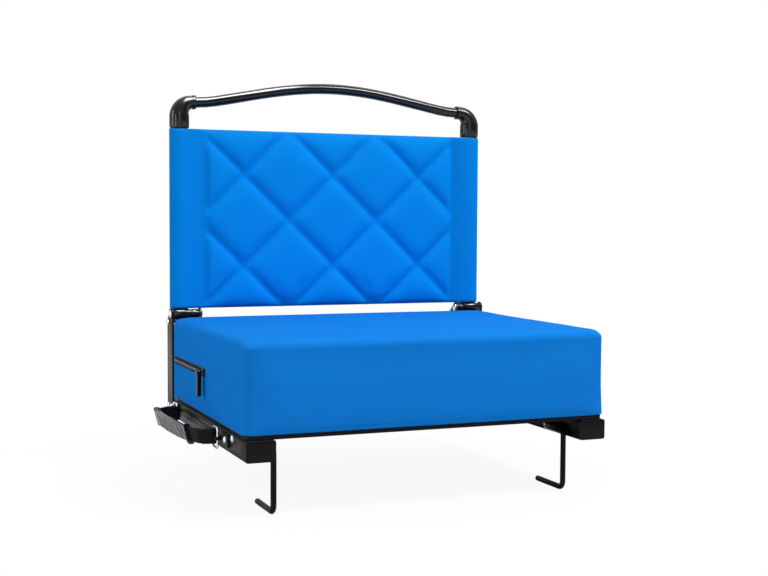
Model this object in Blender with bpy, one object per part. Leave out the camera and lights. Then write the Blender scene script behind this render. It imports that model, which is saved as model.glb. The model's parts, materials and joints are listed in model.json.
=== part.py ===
# Folding bleacher seat: a cushion on a railed base, a quilted backrest that folds forward,
# two bench hooks that fold under the base, a side carry handle and a zip pocket.
# Metres, +Z up. X runs across the seat, the sitter faces -Y, and Z = 0 is the rails' underside.

import math

import bmesh
import bpy
from mathutils import Matrix, Vector
from mathutils.geometry import convex_hull_2d

# Fits
GAP = 0.0003
RUN_CLEAR = 0.00025

# Cushion
SEAT_WIDTH = 0.430
SEAT_DEPTH = 0.320
CUSHION_HEIGHT = 0.098
CUSHION_CROWN = 0.002
CUSHION_DRAW_IN = 0.0015
CUSHION_SIDE_DRAW_IN = 0.0005
CUSHION_OVERHANG = 0.002
CUSHION_CORNER_R = 0.013
CUSHION_EDGE_R = 0.014
COVER_WALL = 0.0015

# Base board and rails
BOARD_THICK = 0.005
BOARD_INSET = 0.0015
BOARD_CORNER_R = 0.009
RAIL_WIDTH = 0.033
RAIL_HEIGHT = 0.023
RAIL_WALL = 0.002
RAIL_CORNER_R = 0.0026
RAIL_TAIL = 0.031
CAP_FACE = 0.0025
CAP_PLUG = 0.0045
RIVET_R = 0.002
BOARD_RIVET_HEAD_R = 0.0045
BOARD_RIVET_HEAD = 0.0015
BOARD_RIVET_TAIL = 0.002
BOARD_RIVET_END = 0.075

# Hinge of the backrest
STRAP_THICK = 0.0025
STRAP_WIDTH = 0.028
STRAP_SETBACK = 0.001
STRAP_FOOT_R = 0.003
STRAP_FOOT_RISE = 0.001
STRAP_TOP_R = 0.007
STRAP_STOP_R = 0.006
BOLT_R = 0.0025
BOLT_HEAD_R = 0.0042
BOLT_HEAD = 0.0022
BOLT_SETBACK = 0.005
BOLT_SPACING = 0.014
BOLT_DROP = 0.0085
HINGE_HEIGHT = 0.1025
HINGE_SETBACK = 0.0095
PIVOT_R = 0.003
PIVOT_HEAD_R = 0.005
STOP_R = 0.0025
STOP_BACK = 0.014
BUSH_WALL = 0.0025
FOOT_WIDTH = 0.023
FOOT_NOSE_R = 0.008
FOOT_TOP = 0.0052
FOOT_HEEL_R = 0.003
FOOT_BACK = 0.012
SPIGOT_LENGTH = 0.030

# Backrest frame
TUBE_R = 0.011
TUBE_WALL = 0.0015
TUBE_OFFSET = 0.011
PANEL_HEIGHT = 0.228
PANEL_GAP = 0.001
ELBOW_R = 0.0125
ELBOW_END_R = 0.0082
ELBOW_COLLAR_R = 0.0090
ELBOW_COLLAR = 0.004
ELBOW_SOCKET = 0.014
ELBOW_STRAIGHT = 0.016
ELBOW_BEND = 0.0165
BAR_R = 0.0067
BAR_SOCKET = 0.008
BAR_RISE = 0.0245
ELBOW_RIVET_HEAD_R = 0.003
ELBOW_RIVET_HEAD = 0.0012
ELBOW_RIVET_TAIL = 0.0015

# Quilted backrest cover
SLEEVE_WALL = 0.0012
SLEEVE_SLACK = 0.0006
SEAM_INSET = 0.031
SEAM_HALF = 0.0068
PUFF_HALF = 0.0125
EDGE_HALF = 0.0060
QUILT_X = 0.0610
QUILT_Z = 0.0590
QUILT_STEPS = 4
BACK_FOAM_HALF = 0.0042
BACK_FOAM_EDGE = 0.006

# Bench hooks
HOOK_R = 0.00325
HOOK_Y = 0.028
HOOK_PIVOT_DROP = 0.0139
HOOK_DROP = 0.069
HOOK_FOOT = 0.060
HOOK_BEND = 0.008
HOOK_AXLE = 0.042
SLEEVE_R = 0.0053
SLEEVE_LENGTH = 0.026
SLEEVE_SETBACK = 0.0005
HOOK_TAB = 0.002
HOOK_TAB_WIDTH = 0.014
HOOK_TAB_DROP = 0.0008
HOOK_RIVET_DROP = 0.0048
HOOK_RIVET_HEAD_R = 0.0034
HOOK_RIVET_HEAD = 0.0015
HOOK_NUT_R = 0.0050
HOOK_NUT = 0.003

# Carry handle on the left rail
HANDLE_FRONT_CLEAR = 0.0125
HANDLE_REAR_CLEAR = 0.005
HANDLE_DROP = 0.0095
HANDLE_STANDOFF = 0.0075
HANDLE_REACH = 0.0265
HANDLE_POWER = 3.5
RING_WIRE_R = 0.00125
RING_LENGTH = 0.018
RING_HEIGHT = 0.022
RING_BEND = 0.003
WEB_THICK = 0.0022
WEB_WIDTH = 0.017
WEB_TAIL = 0.014
WEB_LOOP_CLEAR = 0.00035
GRIP_END = 0.021
GRIP_HEIGHT = 0.021
GRIP_INNER = 0.0050
GRIP_OUTER = 0.0055
GRIP_RIB = 0.0012
GRIP_RIBS = 10
GRIP_PLAIN_END = 0.08
GRIP_TAPER_END = 0.04
GRIP_END_SWELL = 0.55
GRIP_SLOT_CLEAR = 0.0003
GRIP_SPANS = 10
TAB_THICK = 0.002
TAB_HEIGHT = 0.014
TAB_CURL_HEIGHT = 0.0036
TAB_CURL_R = 0.0021
TAB_CURL_WALL = 0.0015
TAB_BACK = 0.003
TAB_LENGTH = 0.019
TAB_RIVET_BACK = 0.012
TAB_RIVET_HEAD_R = 0.0042
TAB_RIVET_HEAD = 0.0022
TAB_RIVET_TAIL = 0.002

# Zip pocket on the cover's left face
ZIP_Z = 0.0475
ZIP_FRONT = 0.153
ZIP_TAPE = 0.0010
ZIP_TAPE_HEIGHT = 0.009
ZIP_COIL = 0.0012
ZIP_COIL_HEIGHT = 0.003
SLIDER_LENGTH = 0.009
SLIDER_HEIGHT = 0.008
SLIDER_WALL = 0.0014
SLIDER_CLEAR = 0.0004
SLIDER_POST_R = 0.0012
SLIDER_POST_HEAD_R = 0.0022
SLIDER_POST_HEAD = 0.0008
PULL_THICK = 0.0045
PULL_WIDTH = 0.0085
PULL_LENGTH = 0.028

# Facets of round pieces
FINE = 20
MEDIUM = 16
COARSE = 12

# Places that several pieces share
half_width = SEAT_WIDTH / 2
front_y = -SEAT_DEPTH / 2
rear_y = SEAT_DEPTH / 2
cushion_half = half_width + CUSHION_OVERHANG
rail_inner = half_width - RAIL_WIDTH
rail_mid = half_width - RAIL_WIDTH / 2
rail_end_y = rear_y + RAIL_TAIL
board_z = RAIL_HEIGHT + GAP
cushion_z = board_z + BOARD_THICK + GAP
pivot_y = rear_y + HINGE_SETBACK
pivot_z = cushion_z + HINGE_HEIGHT
foot_outer = half_width
tube_x = foot_outer - FOOT_WIDTH / 2
tube_y = pivot_y + TUBE_OFFSET
tube_z = pivot_z + FOOT_TOP + GAP
panel_z = pivot_z + FOOT_TOP + PANEL_GAP
panel_top = panel_z + PANEL_HEIGHT
elbow_z = panel_top + PANEL_GAP
bar_z = elbow_z + ELBOW_STRAIGHT + ELBOW_BEND
stop_y = pivot_y + STOP_BACK
stop_z = pivot_z - FOOT_NOSE_R - GAP - STOP_R
strap_y = rear_y + STRAP_SETBACK
bolt_y = strap_y + BOLT_SETBACK
bolt_z = RAIL_HEIGHT - BOLT_DROP
hook_y = front_y + HOOK_Y
hook_x = rail_inner - GAP - SLEEVE_R
hook_z = RAIL_HEIGHT - HOOK_PIVOT_DROP
hook_rivet_z = RAIL_HEIGHT - HOOK_RIVET_DROP
sleeve_y = hook_y + HOOK_BEND + SLEEVE_SETBACK
hook_rivet_y = sleeve_y + SLEEVE_LENGTH / 2
handle_x = -half_width - HANDLE_STANDOFF
handle_z = RAIL_HEIGHT - HANDLE_DROP
tab_front_y = hook_rivet_y + HANDLE_FRONT_CLEAR
tab_rear_y = strap_y - HANDLE_REAR_CLEAR
handle_y = (tab_front_y + tab_rear_y) / 2
handle_span = tab_rear_y - tab_front_y - 2 * (TAB_LENGTH + TAB_BACK + RING_LENGTH)
grip_length = handle_span - 2 * GRIP_END
zip_x = -cushion_half - GAP
zip_front_y = front_y + ZIP_FRONT
zip_rear_y = rear_y - CUSHION_CORNER_R
zip_z = cushion_z + ZIP_Z
slider_y = zip_front_y + SLIDER_LENGTH


def remove_everything():
    for item in list(bpy.data.objects):
        bpy.data.objects.remove(item, do_unlink=True)


def make_material(name, colour, roughness, metallic):
    material = bpy.data.materials.new(name)
    material.use_nodes = True
    shader = material.node_tree.nodes["Principled BSDF"]
    shader.inputs["Base Color"].default_value = (*colour, 1.0)
    shader.inputs["Roughness"].default_value = roughness
    shader.inputs["Metallic"].default_value = metallic
    return material


def make_axis(name, place):
    """An empty on a joint's axis, which the moving pieces are parented to."""
    empty = bpy.data.objects.new(name, None)
    empty.location = place
    bpy.context.scene.collection.objects.link(empty)
    return empty


def make_piece(name, mesh, material, axis=None):
    piece = bpy.data.objects.new(name, mesh)
    bpy.context.scene.collection.objects.link(piece)
    if material is not None:
        mesh.materials.append(material)
    if axis is not None:
        piece.parent = axis
        piece.matrix_parent_inverse = Matrix.Translation(-axis.location)
    return piece


def loft(name, loops, closed=False, sharp=40.0, valley=None):
    """A closed skin over a row of point loops. A loop of one point is a pole.

    With a valley, a Y place, each quad is split along the diagonal that lies nearer to it.
    """
    bm = bmesh.new()
    rows = [[bm.verts.new(point) for point in loop] for loop in loops]
    pairs = list(zip(rows, rows[1:]))
    if closed:
        pairs.append((rows[-1], rows[0]))
    for low, high in pairs:
        count = max(len(low), len(high))
        for i in range(count):
            corners = [low[i % len(low)], low[(i + 1) % len(low)]]
            corners += [high[(i + 1) % len(high)], high[i % len(high)]]
            if valley is None:
                bm.faces.new(list(dict.fromkeys(corners)))
                continue
            height = [abs(vert.co.y - valley) for vert in corners]
            first = 0 if height[0] + height[2] <= height[1] + height[3] else 1
            corners = corners[first:] + corners[:first]
            bm.faces.new(corners[:3])
            bm.faces.new((corners[0], corners[2], corners[3]))
    if not closed:
        for end in (rows[0], rows[-1]):
            if len(end) > 1:
                bm.faces.new(end)
    return finish_mesh(name, bm, sharp)


def finish_mesh(name, bm, sharp=40.0):
    bmesh.ops.recalc_face_normals(bm, faces=bm.faces)
    mesh = bpy.data.meshes.new(name)
    bm.to_mesh(mesh)
    bm.free()
    mesh.shade_smooth()
    mesh.set_sharp_from_angle(angle=math.radians(sharp))
    return mesh


def along(axis, a, b, t):
    """A point with t along the named axis and (a, b) across it, in X, Y, Z order."""
    return {"X": (t, a, b), "Y": (a, t, b), "Z": (a, b, t)}[axis]


def circle(radius, sides, centre=(0.0, 0.0)):
    turns = [2 * math.pi * (i + 0.5) / sides for i in range(sides)]
    return [(centre[0] + radius * math.cos(t), centre[1] + radius * math.sin(t)) for t in turns]


def prism(name, outline, axis, low, high):
    ends = [[along(axis, a, b, t) for a, b in outline] for t in (low, high)]
    return loft(name, ends)


def block(name, low, high):
    outline = [(low[0], low[1]), (high[0], low[1]), (high[0], high[1]), (low[0], high[1])]
    return prism(name, outline, "Z", low[2], high[2])


def turned(name, profile, axis, centre, sides=COARSE, closed=False):
    """A turned solid. The profile's points are (radius, place along the axis)."""
    loops = []
    for radius, t in profile:
        ring = circle(radius, sides, centre) if radius > 0 else [centre]
        loops.append([along(axis, a, b, t) for a, b in ring])
    return loft(name, loops, closed)


def pipe(name, outer, inner, axis, centre, low, high, sides=FINE):
    profile = [(outer, low), (outer, high), (inner, high), (inner, low)]
    return turned(name, profile, axis, centre, sides, closed=True)


def rivet_profile(radius, low, high, head_r, head, tail_r, tail):
    """A shank from low to high with a domed head past low and another past high."""
    step = math.copysign(1.0, high - low)
    dome = ((0.0, 1.0), (0.55, 0.85), (0.88, 0.5), (1.0, 0.0))
    points = [(head_r * r, low - step * head * h) for r, h in dome]
    points += [(radius, low), (radius, high)]
    points += [(tail_r * r, high + step * tail * h) for r, h in reversed(dome)]
    return points


def hull(circles, sides=24):
    """The outline round a set of circles (a, b, radius)."""
    points = [Vector(p) for a, b, r in circles for p in circle(r, sides, (a, b))]
    return [tuple(points[i]) for i in convex_hull_2d(points)]


def rounded_corners(points, radius, steps=5):
    """An open path with each inner corner turned into an arc."""
    path = [Vector(points[0])]
    for before, corner, after in zip(points, points[1:], points[2:]):
        corner = Vector(corner)
        back = (Vector(before) - corner).normalized()
        ahead = (Vector(after) - corner).normalized()
        half = back.angle(ahead) / 2
        centre = corner + (back + ahead).normalized() * radius / math.sin(half)
        start = corner + back * radius / math.tan(half) - centre
        end = corner + ahead * radius / math.tan(half) - centre
        for i in range(steps + 1):
            path.append(centre + start.slerp(end, i / steps).normalized() * radius)
    path.append(Vector(points[-1]))
    return path


def sweep(name, path, radii, sides, side, closed=False):
    """A round section along a flat path whose plane is square to the vector side."""
    side = Vector(side)
    loops = []
    count = len(path)
    for i, point in enumerate(path):
        before = path[i - 1] if closed or i > 0 else point
        after = path[(i + 1) % count] if closed or i < count - 1 else point
        across = (after - before).normalized().cross(side)
        ring = circle(radii[i], sides)
        loops.append([point + side * a + across * b for a, b in ring])
    return loft(name, loops, closed)


def cut(piece, name, mesh, operation="DIFFERENCE"):
    """Cuts a hidden tool out of a piece, or joins it on."""
    tool = make_piece(name, mesh, None)
    tool.hide_render = True
    tool.display_type = "WIRE"
    change = piece.modifiers.new(name, "BOOLEAN")
    change.operation = operation
    change.solver = "EXACT"
    change.object = tool


def drill(piece, name, axis, centre, radius, low, high, sides=COARSE):
    cut(piece, name, turned(name, [(radius, low), (radius, high)], axis, centre, sides))


def rounded_rectangle(half_x, half_y, radius, corner_steps, side_steps, bow_x=0.0, bow_y=0.0):
    """A rectangle with round corners. Its sides are drawn in by bow_x and bow_y at their middles."""
    outline = []
    corners = ((1, 1, 0), (-1, 1, 1), (-1, -1, 2), (1, -1, 3))
    flat_x = half_x - radius
    flat_y = half_y - radius
    for sign_x, sign_y, quarter in corners:
        for i in range(corner_steps + 1):
            turn = math.pi / 2 * (quarter + i / corner_steps)
            point = (sign_x * flat_x + radius * math.cos(turn), sign_y * flat_y + radius * math.sin(turn))
            outline.append(point)
        for i in range(1, side_steps):
            t = 1 - 2 * i / side_steps
            swell = 1 - t * t
            if quarter % 2 == 0:
                outline.append((sign_x * flat_x * t, sign_y * (half_y - bow_y * swell)))
            else:
                outline.append((sign_x * (half_x - bow_x * swell), sign_y * flat_y * t))
    return outline


def cushion_loops(inset, top_steps):
    """The cushion's skin from its bottom edge over the round top edge to the crown's middle."""
    half_x = cushion_half - inset
    half_y = SEAT_DEPTH / 2 - inset
    edge = CUSHION_EDGE_R - inset
    corner = CUSHION_CORNER_R - inset
    edge_z = cushion_z + CUSHION_HEIGHT - CUSHION_EDGE_R
    levels = [(0.0, cushion_z, 0.0), (0.0, (cushion_z + edge_z) / 2, 1.0), (0.0, edge_z, 0.7)]
    for i in range(1, 4):
        turn = math.pi / 2 * i / 4
        levels.append((edge * (1 - math.cos(turn)), edge_z + edge * math.sin(turn), 0.7 * (1 - i / 4)))
    reach = half_y - edge
    for i in range(top_steps):
        share = i / top_steps
        rise = CUSHION_CROWN * (1 - (1 - share) ** 2)
        levels.append((edge + reach * share * 0.92, edge_z + edge + rise, 0.0))
    loops = []
    for shrink, z, draw in levels:
        radius = max(corner, min(corner + shrink, half_y - shrink - GAP))
        bow_x = CUSHION_SIDE_DRAW_IN * draw
        bow_y = CUSHION_DRAW_IN * draw
        outline = rounded_rectangle(half_x - shrink, half_y - shrink, radius, 3, 5, bow_x, bow_y)
        loops.append([(x, y, z) for x, y in outline])
    loops.append([(0.0, 0.0, edge_z + edge + CUSHION_CROWN)])
    return loops


def make_cushion():
    outer = cushion_loops(0.0, 5)
    inner = cushion_loops(COVER_WALL, 3)
    make_piece("seat_cover", loft("seat_cover", outer[::-1] + inner, sharp=60.0), fabric)
    foam = cushion_loops(COVER_WALL + GAP, 3)
    make_piece("seat_foam", loft("seat_foam", foam, sharp=60.0), foam_grey)


def make_board():
    half_x = half_width - BOARD_INSET
    half_y = SEAT_DEPTH / 2 - BOARD_INSET
    outline = rounded_rectangle(half_x, half_y, BOARD_CORNER_R, 4, 1)
    board_top = board_z + BOARD_THICK
    board = make_piece("base_board", prism("base_board", outline, "Z", board_z, board_top), black_board)
    wall_low = RAIL_HEIGHT - RAIL_WALL
    places = {"front": front_y + BOARD_RIVET_END, "rear": rear_y - BOARD_RIVET_END}
    for side_name, sign in sides:
        rail = bpy.data.objects["rail_" + side_name]
        for end_name, y in places.items():
            name = f"board_rivet_{side_name}_{end_name}"
            centre = (sign * rail_mid, y)
            head_low = board_top - BOARD_RIVET_HEAD
            profile = [(BOARD_RIVET_HEAD_R, board_top), (BOARD_RIVET_HEAD_R, head_low), (RIVET_R, head_low)]
            profile += [(RIVET_R, wall_low - GAP), (RIVET_R * 1.7, wall_low - GAP)]
            profile += [(RIVET_R * 1.7, wall_low - BOARD_RIVET_TAIL)]
            make_piece(name, turned(name, profile, "Z", centre), steel)
            hole = RIVET_R + GAP
            sink = BOARD_RIVET_HEAD_R + GAP
            floor = head_low - GAP
            above = board_top + BOARD_THICK
            tool = [(sink, above), (sink, floor), (hole, floor), (hole, board_z - GAP)]
            cut(board, name + "_hole", turned(name + "_hole", tool, "Z", centre))
            drill(rail, name + "_rail_hole", "Z", centre, hole, wall_low - GAP, RAIL_HEIGHT + GAP)


def rail_section(sign, inset):
    """The rail's cross section, moved in from its outside by an inset."""
    radius = max(RAIL_CORNER_R - inset, GAP)
    outline = rounded_rectangle(RAIL_WIDTH / 2 - inset, RAIL_HEIGHT / 2 - inset, radius, 3, 1)
    return [(sign * rail_mid + a, RAIL_HEIGHT / 2 + b) for a, b in outline]


def make_rails():
    start = front_y + CAP_FACE + GAP
    end = rail_end_y - CAP_FACE - GAP
    for side_name, sign in sides:
        outer = rail_section(sign, 0.0)
        inner = rail_section(sign, RAIL_WALL)
        plug = rail_section(sign, RAIL_WALL + GAP)
        rings = [(outer, start), (outer, end), (inner, end), (inner, start)]
        loops = [[along("Y", a, b, y) for a, b in ring] for ring, y in rings]
        make_piece("rail_" + side_name, loft("rail_" + side_name, loops, closed=True), black_metal)
        for end_name, face, inward in (("front", front_y, 1), ("rear", rail_end_y, -1)):
            name = f"rail_cap_{end_name}_{side_name}"
            inside = face + inward * CAP_FACE
            tip = inside + inward * (CAP_PLUG + GAP)
            rings = [(outer, face), (outer, inside), (plug, inside), (plug, tip)]
            loops = [[along("Y", a, b, y) for a, b in ring] for ring, y in rings]
            make_piece(name, loft(name, loops), black_plastic)


def make_hinges():
    strap_foot = STRAP_FOOT_RISE + STRAP_FOOT_R
    circles = [
        (strap_y + STRAP_FOOT_R, strap_foot, STRAP_FOOT_R),
        (strap_y + STRAP_WIDTH - STRAP_FOOT_R, strap_foot, STRAP_FOOT_R),
        (pivot_y, pivot_z, STRAP_TOP_R),
        (stop_y, stop_z, STRAP_STOP_R),
    ]
    outline = hull(circles)
    bolts = {"front": bolt_y, "rear": bolt_y + BOLT_SPACING}
    outer_in = half_width + GAP
    outer_out = outer_in + STRAP_THICK
    inner_out = rail_inner - GAP
    inner_in = inner_out - STRAP_THICK
    for side_name, sign in sides:
        rail = bpy.data.objects["rail_" + side_name]
        straps = []
        for place, low, high in (("outer", outer_in, outer_out), ("inner", inner_in, inner_out)):
            name = f"strap_{place}_{side_name}"
            straps.append(make_piece(name, prism(name, outline, "X", sign * low, sign * high), black_metal))
        through = (sign * (inner_in - BOLT_HEAD), sign * (outer_out + BOLT_HEAD))
        heads = (sign * (outer_out + GAP), sign * (inner_in - GAP))
        for end_name, y in bolts.items():
            name = f"strap_bolt_{end_name}_{side_name}"
            profile = rivet_profile(BOLT_R, *heads, BOLT_HEAD_R, BOLT_HEAD, BOLT_HEAD_R, BOLT_HEAD)
            make_piece(name, turned(name, profile, "X", (y, bolt_z)), steel)
            for piece in (*straps, rail):
                drill(piece, f"{name}_{piece.name}", "X", (y, bolt_z), BOLT_R + GAP, *through)
        pins = (
            ("pivot_pin", pivot_y, pivot_z, PIVOT_R, PIVOT_HEAD_R),
            ("stop_pin", stop_y, stop_z, STOP_R, BOLT_HEAD_R),
        )
        for kind, y, z, radius, head_r in pins:
            name = f"{kind}_{side_name}"
            profile = rivet_profile(radius, *heads, head_r, BOLT_HEAD, head_r, BOLT_HEAD)
            make_piece(name, turned(name, profile, "X", (y, z), FINE), steel)
            for piece in straps:
                drill(piece, f"{name}_{piece.name}", "X", (y, z), radius + GAP, *through, sides=FINE)
        name = "pivot_bush_" + side_name
        bore = PIVOT_R + RUN_CLEAR
        ends = sorted((sign * (inner_out + GAP), sign * (foot_outer - FOOT_WIDTH - GAP)))
        mesh = pipe(name, bore + BUSH_WALL, bore, "X", (pivot_y, pivot_z), *ends)
        make_piece(name, mesh, black_plastic)


def foot_outline():
    """The hinge foot from the side: a round nose on the pivot, a flat heel and a flat top."""
    top_turn = math.pi - math.asin(FOOT_TOP / FOOT_NOSE_R)
    low_turn = 1.5 * math.pi
    steps = 8
    outline = []
    for i in range(steps + 1):
        turn = top_turn + (low_turn - top_turn) * i / steps
        outline.append((pivot_y + FOOT_NOSE_R * math.cos(turn), pivot_z + FOOT_NOSE_R * math.sin(turn)))
    back = tube_y + FOOT_BACK
    heel = (back - FOOT_HEEL_R, pivot_z - FOOT_NOSE_R + FOOT_HEEL_R)
    for i in range(4):
        turn = math.pi * (1.5 + i / 6)
        outline.append((heel[0] + FOOT_HEEL_R * math.cos(turn), heel[1] + FOOT_HEEL_R * math.sin(turn)))
    outline.append((back, pivot_z + FOOT_TOP))
    return outline


def bar_height(x, reach):
    """The grab bar's arch: level where it leaves the elbows, full in the middle."""
    share = min(abs(x) / reach, 1.0)
    wave = 0.5 * (1 + math.cos(math.pi * share))
    bow = 1 - share * share
    return bar_z + BAR_RISE * (wave + bow * (1 - share ** 6)) / 2


def make_frame():
    spigot_r = TUBE_R - TUBE_WALL - GAP
    tube_top = elbow_z + ELBOW_SOCKET
    bar_end = tube_x - ELBOW_BEND
    for side_name, sign in sides:
        edges = sorted((sign * foot_outer, sign * (foot_outer - FOOT_WIDTH)))
        name = "hinge_foot_" + side_name
        foot = make_piece(name, prism(name, foot_outline(), "X", *edges), black_metal, back_axis)
        centre = (sign * tube_x, tube_y)
        root = pivot_z + FOOT_TOP - RUN_CLEAR
        spigot = [(spigot_r, root), (spigot_r, tube_z + SPIGOT_LENGTH)]
        cut(foot, name + "_spigot", turned(name + "_spigot", spigot, "Z", centre, FINE), "UNION")
        ends = (edges[0] - GAP, edges[1] + GAP)
        drill(foot, name + "_bore", "X", (pivot_y, pivot_z), PIVOT_R + RUN_CLEAR, *ends, sides=FINE)

        name = "upright_tube_" + side_name
        mesh = pipe(name, TUBE_R, TUBE_R - TUBE_WALL, "Z", centre, tube_z, tube_top)
        tube = make_piece(name, mesh, black_metal, back_axis)

        name = "elbow_" + side_name
        steps = 8
        path = [Vector((sign * tube_x, tube_y, elbow_z))]
        radii = [ELBOW_R]
        for i in range(steps + 1):
            turn = math.pi / 2 * i / steps
            x = tube_x - ELBOW_BEND * (1 - math.cos(turn))
            path.append(Vector((sign * x, tube_y, elbow_z + ELBOW_STRAIGHT + ELBOW_BEND * math.sin(turn))))
            radii.append(ELBOW_R + (ELBOW_END_R - ELBOW_R) * i / steps)
        for x, radius in ((bar_end - GAP, ELBOW_COLLAR_R), (bar_end - ELBOW_COLLAR, ELBOW_COLLAR_R)):
            path.append(Vector((sign * x, tube_y, bar_z)))
            radii.append(radius)
        elbow = make_piece(name, sweep(name, path, radii, FINE, (0, 1, 0)), black_plastic, back_axis)
        socket = TUBE_R + GAP
        drill(elbow, name + "_tube_socket", "Z", centre, socket, elbow_z - GAP, tube_top + GAP, sides=FINE)
        ends = (sign * (bar_end - ELBOW_COLLAR - GAP), sign * (bar_end + BAR_SOCKET + GAP))
        drill(elbow, name + "_bar_socket", "X", (tube_y, bar_z), BAR_R + GAP, *sorted(ends), sides=MEDIUM)

        name = "elbow_rivet_" + side_name
        rivet = (sign * tube_x, elbow_z + ELBOW_SOCKET / 2)
        outside = tube_y + ELBOW_R + GAP
        tail_r = RIVET_R * 1.3
        inside = tube_y + math.sqrt((TUBE_R - TUBE_WALL) ** 2 - tail_r ** 2) - 2 * GAP
        profile = rivet_profile(
            RIVET_R, outside, inside, ELBOW_RIVET_HEAD_R, ELBOW_RIVET_HEAD, tail_r, ELBOW_RIVET_TAIL
        )
        make_piece(name, turned(name, profile, "Y", rivet), steel, back_axis)
        for piece in (elbow, tube):
            drill(piece, f"{name}_{piece.name}", "Y", rivet, RIVET_R + GAP, tube_y, outside + GAP)

    reach = bar_end - ELBOW_COLLAR
    end = bar_end + BAR_SOCKET
    count = 28
    xs = [-end] + [reach * (2 * i / count - 1) for i in range(count + 1)] + [end]
    path = [Vector((x, tube_y, bar_height(x, reach))) for x in xs]
    bar = sweep("top_bar", path, [BAR_R] * len(path), MEDIUM, (0, 1, 0))
    make_piece("top_bar", bar, black_metal, back_axis)


def quilt_half(x, z, edge_x):
    """Half the quilted thickness: puffs between diagonal seams, thin at the seams and edges."""
    u = x / QUILT_X
    v = (z - panel_z - PANEL_HEIGHT / 2) / QUILT_Z
    seam = min(abs((u + v) % 2 - 1), abs((u - v) % 2 - 1))
    rows = (panel_top - z, z - panel_z, edge_x - abs(x))
    edge = max(0.0, min(rows)) / (QUILT_Z / 2)
    puff = SEAM_HALF + (PUFF_HALF - SEAM_HALF) * math.sin(math.pi / 2 * min(1.0, seam)) ** 0.75
    border = EDGE_HALF + (PUFF_HALF - EDGE_HALF) * math.sin(math.pi / 2 * min(1.0, edge)) ** 0.6
    return min(puff, border)


def spread(half, step):
    """Grid places from -half to half: whole steps out from the middle, then the edge itself."""
    count = int((half - step / 3) / step)
    inner = [step * i for i in range(-count, count + 1)]
    return [-half] + inner + [half]


def sleeve_section(radius, edge_half, seam_x):
    """The sleeve round one tube, seen from above, as (distance from the middle, depth) pairs."""
    slope = math.acos((radius - edge_half) / (tube_x - seam_x)) * 0.5
    steps = 10
    turns = [math.pi - slope - (math.pi - slope) * 2 * i / steps for i in range(steps + 1)]
    return [(tube_x + radius * math.cos(t), radius * math.sin(t)) for t in turns]


def make_back():
    seam_x = tube_x - SEAM_INSET
    columns = spread(seam_x, QUILT_X / QUILT_STEPS)
    middle = panel_z + PANEL_HEIGHT / 2
    rows = [middle + z for z in spread(PANEL_HEIGHT / 2, QUILT_Z / QUILT_STEPS)]
    bore = TUBE_R + SLEEVE_SLACK
    radius = bore + SLEEVE_WALL
    sleeve = sleeve_section(radius, EDGE_HALF, seam_x)
    loops = []
    for z in rows:
        front = [(x, tube_y - quilt_half(x, z, seam_x), z) for x in columns]
        back = [(x, tube_y + quilt_half(x, z, seam_x), z) for x in reversed(columns)]
        right = [(x, tube_y - y, z) for x, y in sleeve]
        left = [(-x, tube_y + y, z) for x, y in sleeve]
        loops.append(front + right + back + left)
    skin = loft("back_cover", loops, sharp=80.0, valley=tube_y)
    cover = make_piece("back_cover", skin, fabric, back_axis)
    for side_name, sign in sides:
        tunnel = [(sign * (tube_x - bore * 1.35), tube_y)]
        tunnel += [(sign * x, tube_y - y) for x, y in sleeve_section(bore, EDGE_HALF, seam_x)]
        name = "tube_tunnel_" + side_name
        cut(cover, name, prism(name, tunnel, "Z", panel_z - GAP, panel_top + GAP))
    half_x = seam_x - BACK_FOAM_EDGE
    top = panel_top - BACK_FOAM_EDGE
    low = (-half_x - GAP, tube_y - BACK_FOAM_HALF - GAP, panel_z - GAP)
    high = (half_x + GAP, tube_y + BACK_FOAM_HALF + GAP, top + GAP)
    cut(cover, "foam_pocket", block("foam_pocket", low, high))
    low = (-half_x, tube_y - BACK_FOAM_HALF, panel_z + GAP)
    high = (half_x, tube_y + BACK_FOAM_HALF, top)
    make_piece("back_foam", block("back_foam", low, high), foam_grey, back_axis)


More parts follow.
